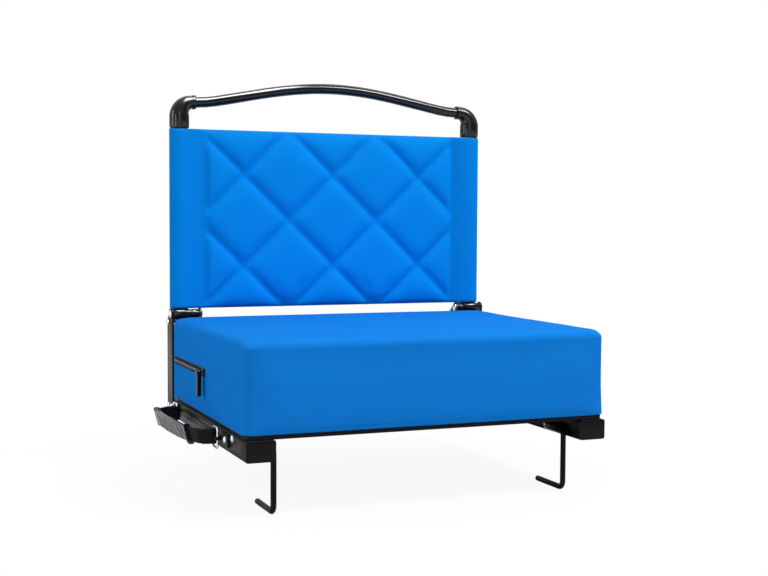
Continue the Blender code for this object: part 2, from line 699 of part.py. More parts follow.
def make_hooks():
    rivet_ends = (half_width + GAP, rail_inner - GAP - HOOK_TAB - GAP)
    for side_name, sign in sides:
        axis = hook_axes[side_name]
        x = sign * hook_x
        back = sleeve_y + SLEEVE_LENGTH
        tip = hook_y + HOOK_AXLE
        foot_z = hook_z - HOOK_DROP
        route = [(x, tip, hook_z), (x, hook_y, hook_z), (x, hook_y, foot_z)]
        route.append((x, hook_y + HOOK_FOOT, foot_z))
        path = rounded_corners(route, HOOK_BEND)
        name = "hook_" + side_name
        make_piece(name, sweep(name, path, [HOOK_R] * len(path), COARSE, (1, 0, 0)), black_metal, axis)

        name = "hook_nut_" + side_name
        nut_ends = (back + GAP, back + GAP + HOOK_NUT)
        mesh = pipe(name, HOOK_NUT_R, HOOK_R + GAP, "Y", (x, hook_z), *nut_ends, COARSE)
        make_piece(name, mesh, steel, axis)

        name = "hook_bracket_" + side_name
        sleeve = [(SLEEVE_R, sleeve_y), (SLEEVE_R, back)]
        bracket = make_piece(name, turned(name, sleeve, "Y", (x, hook_z), MEDIUM), black_metal)
        tab_out = rail_inner - GAP
        tab_x = sorted((sign * tab_out, sign * (tab_out - HOOK_TAB)))
        low = (tab_x[0], hook_rivet_y - HOOK_TAB_WIDTH / 2, hook_z)
        high = (tab_x[1], hook_rivet_y + HOOK_TAB_WIDTH / 2, RAIL_HEIGHT - HOOK_TAB_DROP)
        cut(bracket, name + "_tab", block(name + "_tab", low, high), "UNION")
        bore = HOOK_R + RUN_CLEAR
        drill(bracket, name + "_bore", "Y", (x, hook_z), bore, sleeve_y - GAP, back + GAP, sides=COARSE)

        name = "hook_rivet_" + side_name
        ends = [sign * t for t in rivet_ends]
        profile = rivet_profile(
            RIVET_R, *ends, TAB_RIVET_HEAD_R, TAB_RIVET_HEAD, HOOK_RIVET_HEAD_R, HOOK_RIVET_HEAD
        )
        centre = (hook_rivet_y, hook_rivet_z)
        make_piece(name, turned(name, profile, "X", centre), steel)
        for piece in (bracket, bpy.data.objects["rail_" + side_name]):
            drill(piece, f"{name}_{piece.name}", "X", centre, RIVET_R + GAP, *sorted(ends))


def handle_point(y):
    """The webbing's middle line from its front loop to its rear loop, bowed out from the rail."""
    share = min(1.0, abs(2 * (y - handle_y) / handle_span))
    x = handle_x - HANDLE_REACH * (1 - share ** HANDLE_POWER) ** (1 / HANDLE_POWER)
    return Vector((x, y, handle_z))


def grip_points():
    """The part of the middle line inside the grip. The webbing and the grip's slot share it."""
    start = handle_y - grip_length / 2
    return [handle_point(start + grip_length * i / GRIP_SPANS) for i in range(GRIP_SPANS + 1)]


def path_normals(path):
    """Unit vectors square to a level path, on its left."""
    normals = []
    for i in range(len(path)):
        before = path[max(i - 1, 0)]
        after = path[min(i + 1, len(path) - 1)]
        run = (after - before).normalized()
        normals.append(Vector((-run.y, run.x, 0.0)))
    return normals


def webbing_path():
    """Out of the front loop, through the grip and into the rear loop, with both ends turned back."""
    loop_r = RING_WIRE_R + WEB_LOOP_CLEAR + WEB_THICK / 2
    bar = handle_point(handle_y - handle_span / 2)
    run = (handle_span - grip_length) / 2 - loop_r
    count = 9
    lead = [bar + Vector((0.0, loop_r, 0.0))]
    for i in range(1, count):
        lead.append(handle_point(bar.y + loop_r + run * (i / count) ** 2))
    around = []
    turns = 8
    for i in range(1, turns + 1):
        turn = math.pi / 2 - math.pi * i / turns
        around.append(bar + Vector((loop_r * math.cos(turn), loop_r * math.sin(turn), 0.0)))
    tail = []
    steps = 4
    for i in range(1, steps + 1):
        t = i / steps
        closing = (2 * loop_r - WEB_THICK - 2 * WEB_LOOP_CLEAR) * min(1.0, 1.6 * t)
        tail.append(around[-1] + Vector((-WEB_TAIL * t, closing * t, 0.0)))
    front = (around + tail)[::-1] + lead
    rear = [Vector((p.x, 2 * handle_y - p.y, p.z)) for p in reversed(front)]
    return front + grip_points() + rear


def make_handle():
    path = webbing_path()
    normals = path_normals(path)
    up = Vector((0.0, 0.0, WEB_WIDTH / 2))
    loops = []
    for point, normal in zip(path, normals):
        side = normal * WEB_THICK / 2
        loops.append([point + side + up, point - side + up, point - side - up, point + side - up])
    make_piece("handle_webbing", loft("handle_webbing", loops), webbing, handle_axis)

    line = grip_points()
    line_normals = path_normals(line)

    def section(share, inner, outer, height):
        """The grip's outside at a share of its length, between two points of its middle line."""
        first = min(int(share * GRIP_SPANS), GRIP_SPANS - 1)
        blend = share * GRIP_SPANS - first
        point = line[first].lerp(line[first + 1], blend)
        out = line_normals[first].lerp(line_normals[first + 1], blend).normalized()
        half = height / 2
        soft = min(inner, outer, half) * 0.6
        upper = [(outer, half - soft), (outer - soft, half), (soft - inner, half), (-inner, half - soft)]
        outline = upper + [(a, -b) for a, b in reversed(upper)]
        return [point + out * a + Vector((0.0, 0.0, b)) for a, b in outline]

    stations = [(0.0, GRIP_END_SWELL), (GRIP_TAPER_END, 1.0)]
    pitch = (1 - 2 * GRIP_PLAIN_END) / GRIP_RIBS
    for i in range(GRIP_RIBS):
        start = GRIP_PLAIN_END + pitch * i
        for share, rise in ((0.2, 0.0), (0.3, 1.0), (0.7, 1.0), (0.8, 0.0)):
            stations.append((start + pitch * share, 1.0 + rise))
    stations += [(1 - GRIP_TAPER_END, 1.0), (1.0, GRIP_END_SWELL)]
    loops = []
    for share, level in stations:
        swell = min(level, 1.0)
        rib = GRIP_RIB * max(level - 1.0, 0.0)
        height = WEB_WIDTH + (GRIP_HEIGHT - WEB_WIDTH) * swell
        loops.append(section(share, GRIP_INNER * swell, GRIP_OUTER * swell + rib, height))
    slot_half = WEB_THICK / 2 + GRIP_SLOT_CLEAR
    slot_height = WEB_WIDTH + 2 * GRIP_SLOT_CLEAR
    for point, out in reversed(list(zip(line, line_normals))):
        half = slot_height / 2
        upper = [(slot_half, half / 2), (slot_half, half), (-slot_half, half), (-slot_half, half / 2)]
        outline = upper + [(a, -b) for a, b in reversed(upper)]
        loops.append([point + out * a + Vector((0.0, 0.0, b)) for a, b in outline])
    make_piece("handle_grip", loft("handle_grip", loops, closed=True), grip_rubber, handle_axis)

    rail = bpy.data.objects["rail_left"]
    for end_name, sign in (("front", -1), ("rear", 1)):
        inner_y = handle_y + sign * handle_span / 2
        outer_y = inner_y + sign * RING_LENGTH
        corners = ((inner_y, 1), (outer_y, 1), (outer_y, -1), (inner_y, -1))
        points = [Vector((handle_x, y, handle_z + s * RING_HEIGHT / 2)) for y, s in corners]
        path = rounded_corners([points[-1], *points, points[0]], RING_BEND, 4)[1:-1]
        name = "handle_ring_" + end_name
        ring = sweep(name, path, [RING_WIRE_R] * len(path), 8, (1, 0, 0), closed=True)
        make_piece(name, ring, steel, handle_axis)

        name = "handle_tab_" + end_name
        face = -half_width - GAP
        plate_x = (face - TAB_THICK, face)
        plate_ys = sorted((outer_y + sign * TAB_BACK, outer_y + sign * (TAB_BACK + TAB_LENGTH)))
        low = (plate_x[0], plate_ys[0], handle_z - TAB_HEIGHT / 2)
        high = (plate_x[1], plate_ys[1], handle_z + TAB_HEIGHT / 2)
        tab = make_piece(name, block(name, low, high), black_metal)
        curl_z = (handle_z - TAB_CURL_HEIGHT / 2, handle_z + TAB_CURL_HEIGHT / 2)
        curl_r = TAB_CURL_R + TAB_CURL_WALL
        curl = [(curl_r, curl_z[0]), (curl_r, curl_z[1])]
        arm_ys = sorted((outer_y - sign * TAB_CURL_WALL, outer_y + sign * (TAB_BACK + TAB_THICK)))
        arm_x = handle_x + TAB_CURL_R
        arm_low = (arm_x, arm_ys[0], curl_z[0] + GAP)
        arm_high = (face - GAP, arm_ys[1], curl_z[1] - GAP)
        arm = block(name + "_arm", arm_low, arm_high)
        cut(tab, name + "_arm", arm, "UNION")
        cut(tab, name + "_curl", turned(name + "_curl", curl, "Z", (handle_x, outer_y), MEDIUM), "UNION")
        eye = (curl_z[0] - GAP, curl_z[1] + GAP)
        drill(tab, name + "_eye", "Z", (handle_x, outer_y), TAB_CURL_R, *eye, MEDIUM)

        name = "handle_rivet_" + end_name
        centre = (outer_y + sign * TAB_RIVET_BACK, handle_z)
        outside = face - TAB_THICK - GAP
        inside = -half_width + RAIL_WALL + GAP
        profile = rivet_profile(
            RIVET_R, outside, inside, TAB_RIVET_HEAD_R, TAB_RIVET_HEAD, HOOK_RIVET_HEAD_R, TAB_RIVET_TAIL
        )
        make_piece(name, turned(name, profile, "X", centre), steel)
        for piece in (tab, rail):
            drill(piece, f"{name}_{piece.name}", "X", centre, RIVET_R + GAP, outside, inside)


def make_zip():
    low = zip_z - ZIP_TAPE_HEIGHT / 2
    high = zip_z + ZIP_TAPE_HEIGHT / 2
    coil_low = zip_z - ZIP_COIL_HEIGHT / 2
    coil_high = zip_z + ZIP_COIL_HEIGHT / 2
    face = zip_x - ZIP_TAPE
    crest = face - ZIP_COIL
    outline = [(zip_x, low), (zip_x, high), (face, high), (face, coil_high)]
    outline += [(crest, coil_high), (crest, coil_low), (face, coil_low), (face, low)]
    make_piece("zip_tape", prism("zip_tape", outline, "Y", zip_front_y, zip_rear_y), webbing)

    back = face - SLIDER_CLEAR
    roof_in = crest - SLIDER_CLEAR
    roof = roof_in - SLIDER_WALL
    half = SLIDER_HEIGHT / 2
    groove = ZIP_COIL_HEIGHT / 2 + SLIDER_CLEAR
    outline = [(back, half), (roof, half), (roof, -half), (back, -half)]
    outline += [(back, -groove), (roof_in, -groove), (roof_in, groove), (back, groove)]
    outline = [(x, zip_z + z) for x, z in outline]
    ends = (slider_y - SLIDER_LENGTH / 2, slider_y + SLIDER_LENGTH / 2)
    slider = make_piece("zip_slider", prism("zip_slider", outline, "Y", *ends), black_metal, slider_axis)
    neck = roof - PULL_THICK - 2 * GAP
    post = [(SLIDER_POST_R, roof + GAP), (SLIDER_POST_R, neck)]
    post += [(SLIDER_POST_HEAD_R, neck), (SLIDER_POST_HEAD_R, neck - SLIDER_POST_HEAD)]
    cut(slider, "slider_post", turned("slider_post", post, "X", (slider_y, zip_z)), "UNION")

    wide = PULL_WIDTH / 2
    tip_z = zip_z - PULL_LENGTH + wide
    outline = hull([(slider_y, zip_z, wide), (slider_y, tip_z, wide * 0.8)], MEDIUM)
    ends = (roof - GAP - PULL_THICK, roof - GAP)
    pull = make_piece("zip_pull", prism("zip_pull", outline, "X", *ends), webbing, pull_axis)
    hole = SLIDER_POST_R + RUN_CLEAR
    drill(pull, "pull_eye", "X", (slider_y, zip_z), hole, ends[0] - GAP, ends[1] + GAP)


remove_everything()
sides = (("left", -1), ("right", 1))

fabric = make_material("blue_fabric", (0.008, 0.22, 0.78), 0.85, 0.0)
foam_grey = make_material("foam", (0.75, 0.74, 0.70), 0.95, 0.0)
black_board = make_material("black_board", (0.012, 0.012, 0.013), 0.7, 0.0)
black_metal = make_material("black_metal", (0.015, 0.015, 0.016), 0.4, 0.6)
black_plastic = make_material("black_plastic", (0.018, 0.018, 0.019), 0.45, 0.0)
webbing = make_material("black_webbing", (0.014, 0.014, 0.015), 0.9, 0.0)
grip_rubber = make_material("grip_rubber", (0.03, 0.03, 0.032), 0.6, 0.0)
steel = make_material("bright_steel", (0.75, 0.76, 0.78), 0.25, 1.0)

back_axis = make_axis("back_fold_axis", (0.0, pivot_y, pivot_z))
hook_axes = {
    "left": make_axis("hook_left_axis", (-hook_x, hook_y, hook_z)),
    "right": make_axis("hook_right_axis", (hook_x, hook_y, hook_z)),
}
handle_axis = make_axis("handle_tilt_axis", (handle_x, handle_y, handle_z))
slider_axis = make_axis("zip_slide_axis", (zip_x, slider_y, zip_z))
pull_axis = make_axis("zip_pull_axis", (zip_x, slider_y, zip_z))

make_rails()
make_board()
make_cushion()
make_hinges()
make_frame()
make_back()
make_hooks()
make_handle()
make_zip()
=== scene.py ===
# Looks of the folding bleacher seat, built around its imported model. Metres, +Z up, the sitter faces -Y.

import json
import math

import bmesh
import bpy
import numpy as np
from mathutils import Matrix, Vector
from mathutils.bvhtree import BVHTree


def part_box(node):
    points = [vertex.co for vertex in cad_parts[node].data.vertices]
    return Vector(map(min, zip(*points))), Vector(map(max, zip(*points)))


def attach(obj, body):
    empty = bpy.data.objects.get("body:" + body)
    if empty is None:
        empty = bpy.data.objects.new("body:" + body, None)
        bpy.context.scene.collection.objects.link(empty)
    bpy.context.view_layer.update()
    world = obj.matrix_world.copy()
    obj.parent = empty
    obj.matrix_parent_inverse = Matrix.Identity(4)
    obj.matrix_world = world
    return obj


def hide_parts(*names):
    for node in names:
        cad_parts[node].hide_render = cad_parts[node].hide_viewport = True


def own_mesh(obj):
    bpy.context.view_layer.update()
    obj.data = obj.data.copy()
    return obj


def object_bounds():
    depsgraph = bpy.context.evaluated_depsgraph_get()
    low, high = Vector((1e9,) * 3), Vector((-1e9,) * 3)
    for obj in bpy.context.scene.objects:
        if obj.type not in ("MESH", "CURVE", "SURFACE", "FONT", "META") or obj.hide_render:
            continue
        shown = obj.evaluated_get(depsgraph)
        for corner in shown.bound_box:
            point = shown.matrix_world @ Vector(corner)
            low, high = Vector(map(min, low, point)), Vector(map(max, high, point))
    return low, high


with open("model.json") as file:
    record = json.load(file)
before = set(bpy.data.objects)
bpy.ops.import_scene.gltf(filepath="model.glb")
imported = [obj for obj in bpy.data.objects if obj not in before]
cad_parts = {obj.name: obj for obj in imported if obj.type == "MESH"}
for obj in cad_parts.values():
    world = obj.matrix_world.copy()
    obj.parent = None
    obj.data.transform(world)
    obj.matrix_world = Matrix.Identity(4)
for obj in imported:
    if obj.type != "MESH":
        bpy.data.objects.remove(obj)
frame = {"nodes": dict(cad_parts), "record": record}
cad_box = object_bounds()
scene = bpy.context.scene
nodes = frame["nodes"]
bodies = frame["record"]["behaviour"]["bodies"]
body_of = {node: body for body, members in bodies.items() for node in members}
slot_of = {part["node"]: part["material_slot"] for part in frame["record"]["subparts"]}


# Camera

FOCAL_PX = 1269.7
IMAGE_WIDTH = 768
SENSOR_WIDTH = 36.0
CAMERA_PLACE = Vector((-0.5761, -1.4118, 0.2544))
CAMERA_YAW = math.radians(22.32)
CAMERA_PITCH = math.radians(3.18)
CAMERA_ROLL = math.radians(0.32)


def make_camera():
    forward = Vector((
        math.sin(CAMERA_YAW) * math.cos(CAMERA_PITCH),
        math.cos(CAMERA_YAW) * math.cos(CAMERA_PITCH),
        -math.sin(CAMERA_PITCH),
    ))
    level = Vector((math.cos(CAMERA_YAW), -math.sin(CAMERA_YAW), 0.0))
    upright = level.cross(forward)
    right = level * math.cos(CAMERA_ROLL) + upright * math.sin(CAMERA_ROLL)
    up = upright * math.cos(CAMERA_ROLL) - level * math.sin(CAMERA_ROLL)
    data = bpy.data.cameras.new("camera")
    data.sensor_width = SENSOR_WIDTH
    data.lens = FOCAL_PX / IMAGE_WIDTH * SENSOR_WIDTH
    camera = bpy.data.objects.new("camera", data)
    turn = Matrix((right, up, -forward)).transposed()
    camera.matrix_world = Matrix.Translation(CAMERA_PLACE) @ turn.to_4x4()
    scene.collection.objects.link(camera)
    scene.camera = camera


# Materials

SOCKETS = {"sheen": "Sheen Weight", "nap": "Sheen Roughness", "specular": "Specular IOR Level"}

# Radians that Blender's wave texture turns in a metre at a scale of 1
WAVE_TURN = 20

# Most of a noise texture's values lie between these
NOISE_LOW = 0.3
NOISE_HIGH = 0.7


def add_node(tree, kind, values=None, **settings):
    """A new shader node with its settings and the values of its inputs."""
    node = tree.nodes.new(kind)
    for name, value in settings.items():
        setattr(node, name, value)
    for name, value in (values or {}).items():
        node.inputs[name].default_value = value
    return node


class Shader:
    """A Principled material with short ways to add texture nodes in the piece's own coordinates."""

    def __init__(self, name, colour, roughness, metallic=0.0):
        self.material = bpy.data.materials.new(name)
        self.material.use_nodes = True
        self.tree = self.material.node_tree
        self.shader = self.tree.nodes["Principled BSDF"]
        self.shader.inputs["Base Color"].default_value = (*colour, 1.0)
        self.shader.inputs["Roughness"].default_value = roughness
        self.shader.inputs["Metallic"].default_value = metallic
        self.place = self.tree.nodes.new("ShaderNodeTexCoord").outputs["Object"]

    def add(self, kind, values=None, **settings):
        return add_node(self.tree, kind, values, **settings)

    def link(self, output, target):
        self.tree.links.new(output, target)

    def stretch(self, scale):
        node = self.add("ShaderNodeMapping", {"Scale": scale})
        self.link(self.place, node.inputs["Vector"])
        return node.outputs["Vector"]

    def noise(self, scale, detail=3.0, rough=0.55, place=None):
        node = self.add("ShaderNodeTexNoise", {"Scale": scale, "Detail": detail, "Roughness": rough})
        self.link(place or self.place, node.inputs["Vector"])
        return node.outputs["Fac"]

    def bands(self, axis, pitch):
        node = self.add("ShaderNodeTexWave", wave_type="BANDS", bands_direction=axis, wave_profile="SIN")
        node.inputs["Scale"].default_value = 2 * math.pi / (WAVE_TURN * pitch)
        self.link(self.place, node.inputs["Vector"])
        return node.outputs["Fac"]

    def math(self, operation, a, b):
        node = self.add("ShaderNodeMath", operation=operation)
        for socket, value in zip(node.inputs, (a, b)):
            if isinstance(value, (int, float)):
                socket.default_value = value
            else:
                self.link(value, socket)
        return node.outputs["Value"]

    def span(self, value, low, high, start=0.0, end=1.0):
        limits = {"From Min": start, "From Max": end, "To Min": low, "To Max": high}
        node = self.add("ShaderNodeMapRange", limits)
        self.link(value, node.inputs["Value"])
        return node.outputs["Result"]

    def blend(self, factor, low, high):
        node = self.add("ShaderNodeMix", data_type="RGBA")
        colour_in = [s for s in node.inputs if s.type == "RGBA"]
        for socket, colour in zip(colour_in, (low, high)):
            if isinstance(colour, tuple):
                socket.default_value = (*colour, 1.0)
            else:
                self.link(colour, socket)
        self.link(factor, node.inputs["Factor"])
        return [s for s in node.outputs if s.type == "RGBA"][0]

    def bump(self, height, strength, distance):
        node = self.add("ShaderNodeBump", {"Strength": strength, "Distance": distance})
        self.link(height, node.inputs["Height"])
        return node.outputs["Normal"]

    def finish(self, colour, rough, normal, **constants):
        for output, name in ((colour, "Base Color"), (rough, "Roughness"), (normal, "Normal")):
            self.link(output, self.shader.inputs[name])
        for name, value in constants.items():
            self.shader.inputs[SOCKETS[name]].default_value = value
        return self.material


def shade(colour, factor):
    return tuple(min(1.0, c * factor) for c in colour)


# Painted shade in the valley beside each sleeve seam of the backrest's cloth: darkest at the seam line,
# fading outward, weaker on the left
SLEEVE_WIDTH = 0.0438
SLEEVE_SHADE_FADE = 0.030
SLEEVE_SHADE_END = 0.25
SLEEVE_SHADE_LEFT = 0.45
SLEEVE_SHADE_MIDDLE = 0.01
SLEEVE_SHADE_TONE = 0.78


def paint_sleeve_shade(s, mixed, colour, shade_beyond):
    """Painted shade on the cloth past a distance from the middle, for the valley beside each sleeve seam:
    darkest at that line and on the right.
    """
    split = s.add("ShaderNodeSeparateXYZ")
    s.link(s.place, split.inputs[0])
    x = split.outputs["X"]
    reach = s.math("ABSOLUTE", x, 0.0)
    outside = s.math("GREATER_THAN", reach, shade_beyond)
    fade = s.span(reach, low=1.0, high=SLEEVE_SHADE_END, start=shade_beyond, end=shade_beyond + SLEEVE_SHADE_FADE)
    valley_shade = s.math("MULTIPLY", outside, fade)
    side = s.span(x, low=SLEEVE_SHADE_LEFT, high=1.0, start=-SLEEVE_SHADE_MIDDLE, end=SLEEVE_SHADE_MIDDLE)
    valley_shade = s.math("MULTIPLY", valley_shade, side)
    return s.blend(valley_shade, mixed, shade(colour, SLEEVE_SHADE_TONE))


def woven(name, colour, thread, roughness, bump, sheen, shade_beyond=None):
    """Plain-woven polyester: crossed threads, a slow tone change and a soft nap, and painted shade beside
    the sleeves where a limit is given.
    """
    s = Shader(name, colour, roughness)
    weave = s.math("ADD", s.bands("X", thread), s.math("ADD", s.bands("Y", thread), s.bands("Z", thread)))
    fibre = s.noise(scale=900.0, detail=2.0)
    slow = s.noise(scale=9.0, detail=4.0)
    tone = s.math("ADD", s.span(slow, low=-0.5, high=0.5), s.span(fibre, low=-0.25, high=0.25))
    factor = s.span(tone, low=0.0, high=1.0, start=-0.6, end=0.6)
    mixed = s.blend(factor, shade(colour, 0.93), shade(colour, 1.06))
    if shade_beyond is not None:
        mixed = paint_sleeve_shade(s, mixed, colour, shade_beyond)
    rough = s.span(fibre, low=roughness - 0.06, high=roughness + 0.06)
    cloth = s.math("ADD", weave, s.math("MULTIPLY", fibre, 1.5))
    normal = s.bump(cloth, strength=bump, distance=thread * 0.5)
    s.shader.inputs["Sheen Tint"].default_value = (*colour, 1.0)
    return s.finish(mixed, rough, normal, sheen=sheen, nap=0.4, specular=0.02)


def powder_coat(name, colour, roughness, grain, specular):
    """Baked paint with a fine orange-peel skin and slightly rubbed patches."""
    s = Shader(name, colour, roughness)
    peel = s.noise(scale=grain, detail=2.0, rough=0.5)
    patches = s.noise(scale=22.0, detail=4.0, rough=0.6)
    factor = s.span(patches, low=0.0, high=1.0, start=0.35, end=NOISE_HIGH)
    mixed = s.blend(factor, shade(colour, 0.8), shade(colour, 1.35))
    rubbed = s.span(patches, low=roughness - 0.03, high=roughness + 0.05, start=NOISE_LOW, end=NOISE_HIGH)
    rough = s.math("ADD", rubbed, s.span(peel, low=-0.02, high=0.02))
    normal = s.bump(peel, strength=0.06, distance=0.0003)
    return s.finish(mixed, rough, normal, specular=specular)


def plated(name, colour, roughness):
    """Bright zinc plating with fine turned scratches."""
    s = Shader(name, colour, roughness, metallic=1.0)
    scratch = s.noise(scale=160.0, detail=5.0, rough=0.7, place=s.stretch((1.0, 6.0, 1.0)))
    patches = s.noise(scale=70.0)
    mixed = s.blend(patches, shade(colour, 0.82), shade(colour, 1.08))
    rough = s.span(scratch, low=roughness - 0.06, high=roughness + 0.16, start=NOISE_LOW, end=NOISE_HIGH)
    normal = s.bump(scratch, strength=0.08, distance=0.0002)
    return s.finish(mixed, rough, normal)


def moulded(name, colour, roughness, grain, depth, specular=0.5):
    """Moulded plastic or rubber with a fine spark-eroded grain."""
    s = Shader(name, colour, roughness)
    pits = s.noise(scale=grain, detail=4.0, rough=0.65)
    patches = s.noise(scale=30.0)
    factor = s.span(patches, low=0.0, high=1.0, start=NOISE_LOW, end=NOISE_HIGH)
    mixed = s.blend(factor, shade(colour, 0.85), shade(colour, 1.25))
    rough = s.span(pits, low=roughness - 0.08, high=roughness + 0.08, start=NOISE_LOW, end=NOISE_HIGH)
    normal = s.bump(pits, strength=0.25, distance=depth)
    return s.finish(mixed, rough, normal, specular=specular)


def ribbed_webbing(name, colour, rib, roughness, bump):
    """Narrow woven webbing along Y, with ribs across it, painted shade in their grooves and painted light on
    their crests.
    """
    s = Shader(name, colour, roughness)
    ribs = s.bands("Y", rib)
    cross = s.bands("Z", rib * 1.4)
    fibre = s.noise(scale=700.0)
    # The colour follows the ribs: painted shade in their grooves and painted light on their crests, mixed
    # with random fibre tone
    factor = s.math("MULTIPLY", s.math("ADD", ribs, fibre), 0.5)
    mixed = s.blend(factor, shade(colour, 0.6), shade(colour, 1.5))
    rough = s.span(fibre, low=roughness - 0.08, high=roughness + 0.08)
    height = s.math("ADD", ribs, s.math("ADD", cross, s.math("MULTIPLY", fibre, 0.6)))
    normal = s.bump(height, strength=bump, distance=rib * 0.35)
    return s.finish(mixed, rough, normal, sheen=0.02, nap=0.5, specular=0.15)


# The backrest and the seat are the same blue cloth; the backrest's blue is made lighter than the seat's:
# painted light
BACK_BLUE_LIT = (0.0004, 0.255, 0.82)
SEAT_BLUE = (0.006, 0.216, 0.735)
THREAD_BLUE = (0.001, 0.13, 0.55)
THREAD_BLACK = (0.02, 0.02, 0.021)
BLACK = (0.004, 0.004, 0.0044)
BOARD_BLACK = (0.006, 0.006, 0.0065)
GRIP_BLACK = (0.006, 0.006, 0.0064)
STRAP_BLACK = (0.0035, 0.0035, 0.0038)
TAPE_BLACK = (0.004, 0.004, 0.0043)
COIL_BLACK = (0.03, 0.03, 0.032)
ZINC = (0.78, 0.79, 0.80)
GUN_GREY = (0.10, 0.10, 0.105)
CLOTH = {"thread": 0.0007, "bump": 0.22, "sheen": 0.06}
SEWN = {"thread": 0.0003, "roughness": 0.6, "bump": 0.3, "sheen": 0.1}
PAINT_GRAIN = 1400.0
SMOOTH_PLASTIC = {"grain": 1100.0, "depth": 0.0001}
FINE_PLASTIC = {"grain": 900.0, "depth": 0.0001}
ROUGH_PLASTIC = {"grain": 500.0, "depth": 0.0004}

# The backrest's cloth gets painted shade past the sleeve seams
sleeve_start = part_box("back_cover")[1].x - SLEEVE_WIDTH
back_cloth = woven("back_cloth", BACK_BLUE_LIT, roughness=0.78, shade_beyond=sleeve_start, **CLOTH)
seat_cloth = woven("seat_cloth", SEAT_BLUE, roughness=0.80, **CLOTH)
blue_thread = woven("thread", THREAD_BLUE, **SEWN)
black_thread = woven("black_thread", THREAD_BLACK, **SEWN)
black_metal = powder_coat("black_metal", BLACK, roughness=0.14, grain=PAINT_GRAIN, specular=0.42)
gloss_metal = powder_coat("gloss_metal", BLACK, roughness=0.12, grain=PAINT_GRAIN, specular=0.38)
satin_metal = powder_coat("satin_metal", BLACK, roughness=0.36, grain=PAINT_GRAIN, specular=0.11)
satin_plastic = moulded("satin_plastic", BLACK, roughness=0.34, specular=0.13, **SMOOTH_PLASTIC)
black_plastic = moulded("black_plastic", BLACK, roughness=0.17, specular=0.40, **SMOOTH_PLASTIC)
black_board = moulded("black_board", BOARD_BLACK, roughness=0.60, specular=0.10, **ROUGH_PLASTIC)
grip_rubber = moulded("grip_rubber", GRIP_BLACK, roughness=0.18, specular=0.9, **FINE_PLASTIC)
coil_plastic = moulded("coil_plastic", COIL_BLACK, roughness=0.3, **FINE_PLASTIC)
strap_webbing = ribbed_webbing("strap_webbing", STRAP_BLACK, rib=0.0009, roughness=0.55, bump=0.18)
tape_webbing = ribbed_webbing("tape_webbing", TAPE_BLACK, rib=0.0007, roughness=0.7, bump=0.40)
bright_steel = plated("bright_steel", ZINC, roughness=0.22)
gun_metal = plated("gun_metal", GUN_GREY, roughness=0.20)

hard_finishes = {
    "black_metal": black_metal,
    "black_plastic": black_plastic,
    "black_board": black_board,
    "bright_steel": bright_steel,
}
satin_finishes = {"black_metal": satin_metal, "black_plastic": satin_plastic}


# Mesh tools

SAME_POINT = 1e-6
TINY = 1e-9
FLAT_ANGLE = math.radians(1.0)
SHARP_ANGLE = math.radians(42)
SMOOTH_ANGLE = math.radians(40)


def new_piece(mesh, material, body, slot, *replaced):
    piece = bpy.data.objects.new(mesh.name, mesh)
    scene.collection.objects.link(piece)
    mesh.materials.clear()
    mesh.materials.append(material)
    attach(piece, body)
    if replaced:
        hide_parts(*replaced)
    return piece


def mesh_from(name, verts, faces, smooth_angle=60.0):
    mesh = bpy.data.meshes.new(name)
    mesh.from_pydata([tuple(v) for v in verts], [], [tuple(f) for f in faces])
    bm = bmesh.new()
    bm.from_mesh(mesh)
    bmesh.ops.recalc_face_normals(bm, faces=bm.faces)
    bm.to_mesh(mesh)
    bm.free()
    mesh.shade_smooth()
    mesh.set_sharp_from_angle(angle=math.radians(smooth_angle))
    return mesh


def bevel_edges(bm, edges, radius, segments):
    bmesh.ops.bevel(
        bm, geom=edges, offset=radius, offset_type="OFFSET", segments=segments, profile=0.5,
        affect="EDGES", clamp_overlap=True,
    )


def clean_copy(node):
    """A model node's shape with the triangles of each flat face joined."""
    bm = bmesh.new()
    bm.from_mesh(nodes[node].data)
    bmesh.ops.remove_doubles(bm, verts=bm.verts, dist=SAME_POINT)
    bmesh.ops.dissolve_limit(bm, angle_limit=FLAT_ANGLE, verts=bm.verts, edges=bm.edges)
    return bm


def rounded_mesh(bm, name, radius, segments):
    """The finished mesh of a shape, with its sharp edges rounded."""
    sharp = [e for e in bm.edges if e.calc_face_angle(0.0) > SHARP_ANGLE]
    bevel_edges(bm, sharp, radius, segments)
    mesh = bpy.data.meshes.new(name)
    bm.to_mesh(mesh)
    bm.free()
    mesh.shade_smooth()
    mesh.set_sharp_from_angle(angle=SMOOTH_ANGLE)
    return mesh


def strip_cap(base, count):
    """Faces that close a loop whose second half mirrors its first, as a strip across it."""
    faces = [(base, base + 1, base + count - 1)]
    for i in range(1, count // 2 - 1):
        faces.append((base + i, base + i + 1, base + count - i - 1, base + count - i))
    faces.append((base + count // 2 - 1, base + count // 2, base + count // 2 + 1))
    return faces


def loft_arrays(loops, closed=False, strips=False):
    """Vertices and faces of a closed skin over equal point loops."""
    count = len(loops[0])
    verts = [p for loop in loops for p in loop]
    faces = []
    last = len(loops) if closed else len(loops) - 1
    for k in range(last):
        low = k * count
        high = (k + 1) % len(loops) * count
        for i in range(count):
            j = (i + 1) % count
            faces.append((low + i, low + j, high + j, high + i))
    if strips:
        faces += strip_cap(0, count) + strip_cap(len(verts) - count, count)
    elif not closed:
        faces.append(tuple(range(count)))
        faces.append(tuple(range(len(verts) - count, len(verts))))
    return verts, faces


def apply_modifiers(piece):
    """Replaces the piece's mesh by what its modifiers make of it."""
    deps = bpy.context.evaluated_depsgraph_get()
    mesh = bpy.data.meshes.new_from_object(piece.evaluated_get(deps))
    piece.modifiers.clear()
    old = piece.data
    piece.data = mesh
    bpy.data.meshes.remove(old)
    mesh.shade_smooth()


def points_of(mesh):
    co = np.empty(len(mesh.vertices) * 3)
    mesh.vertices.foreach_get("co", co)
    return co.reshape(-1, 3)


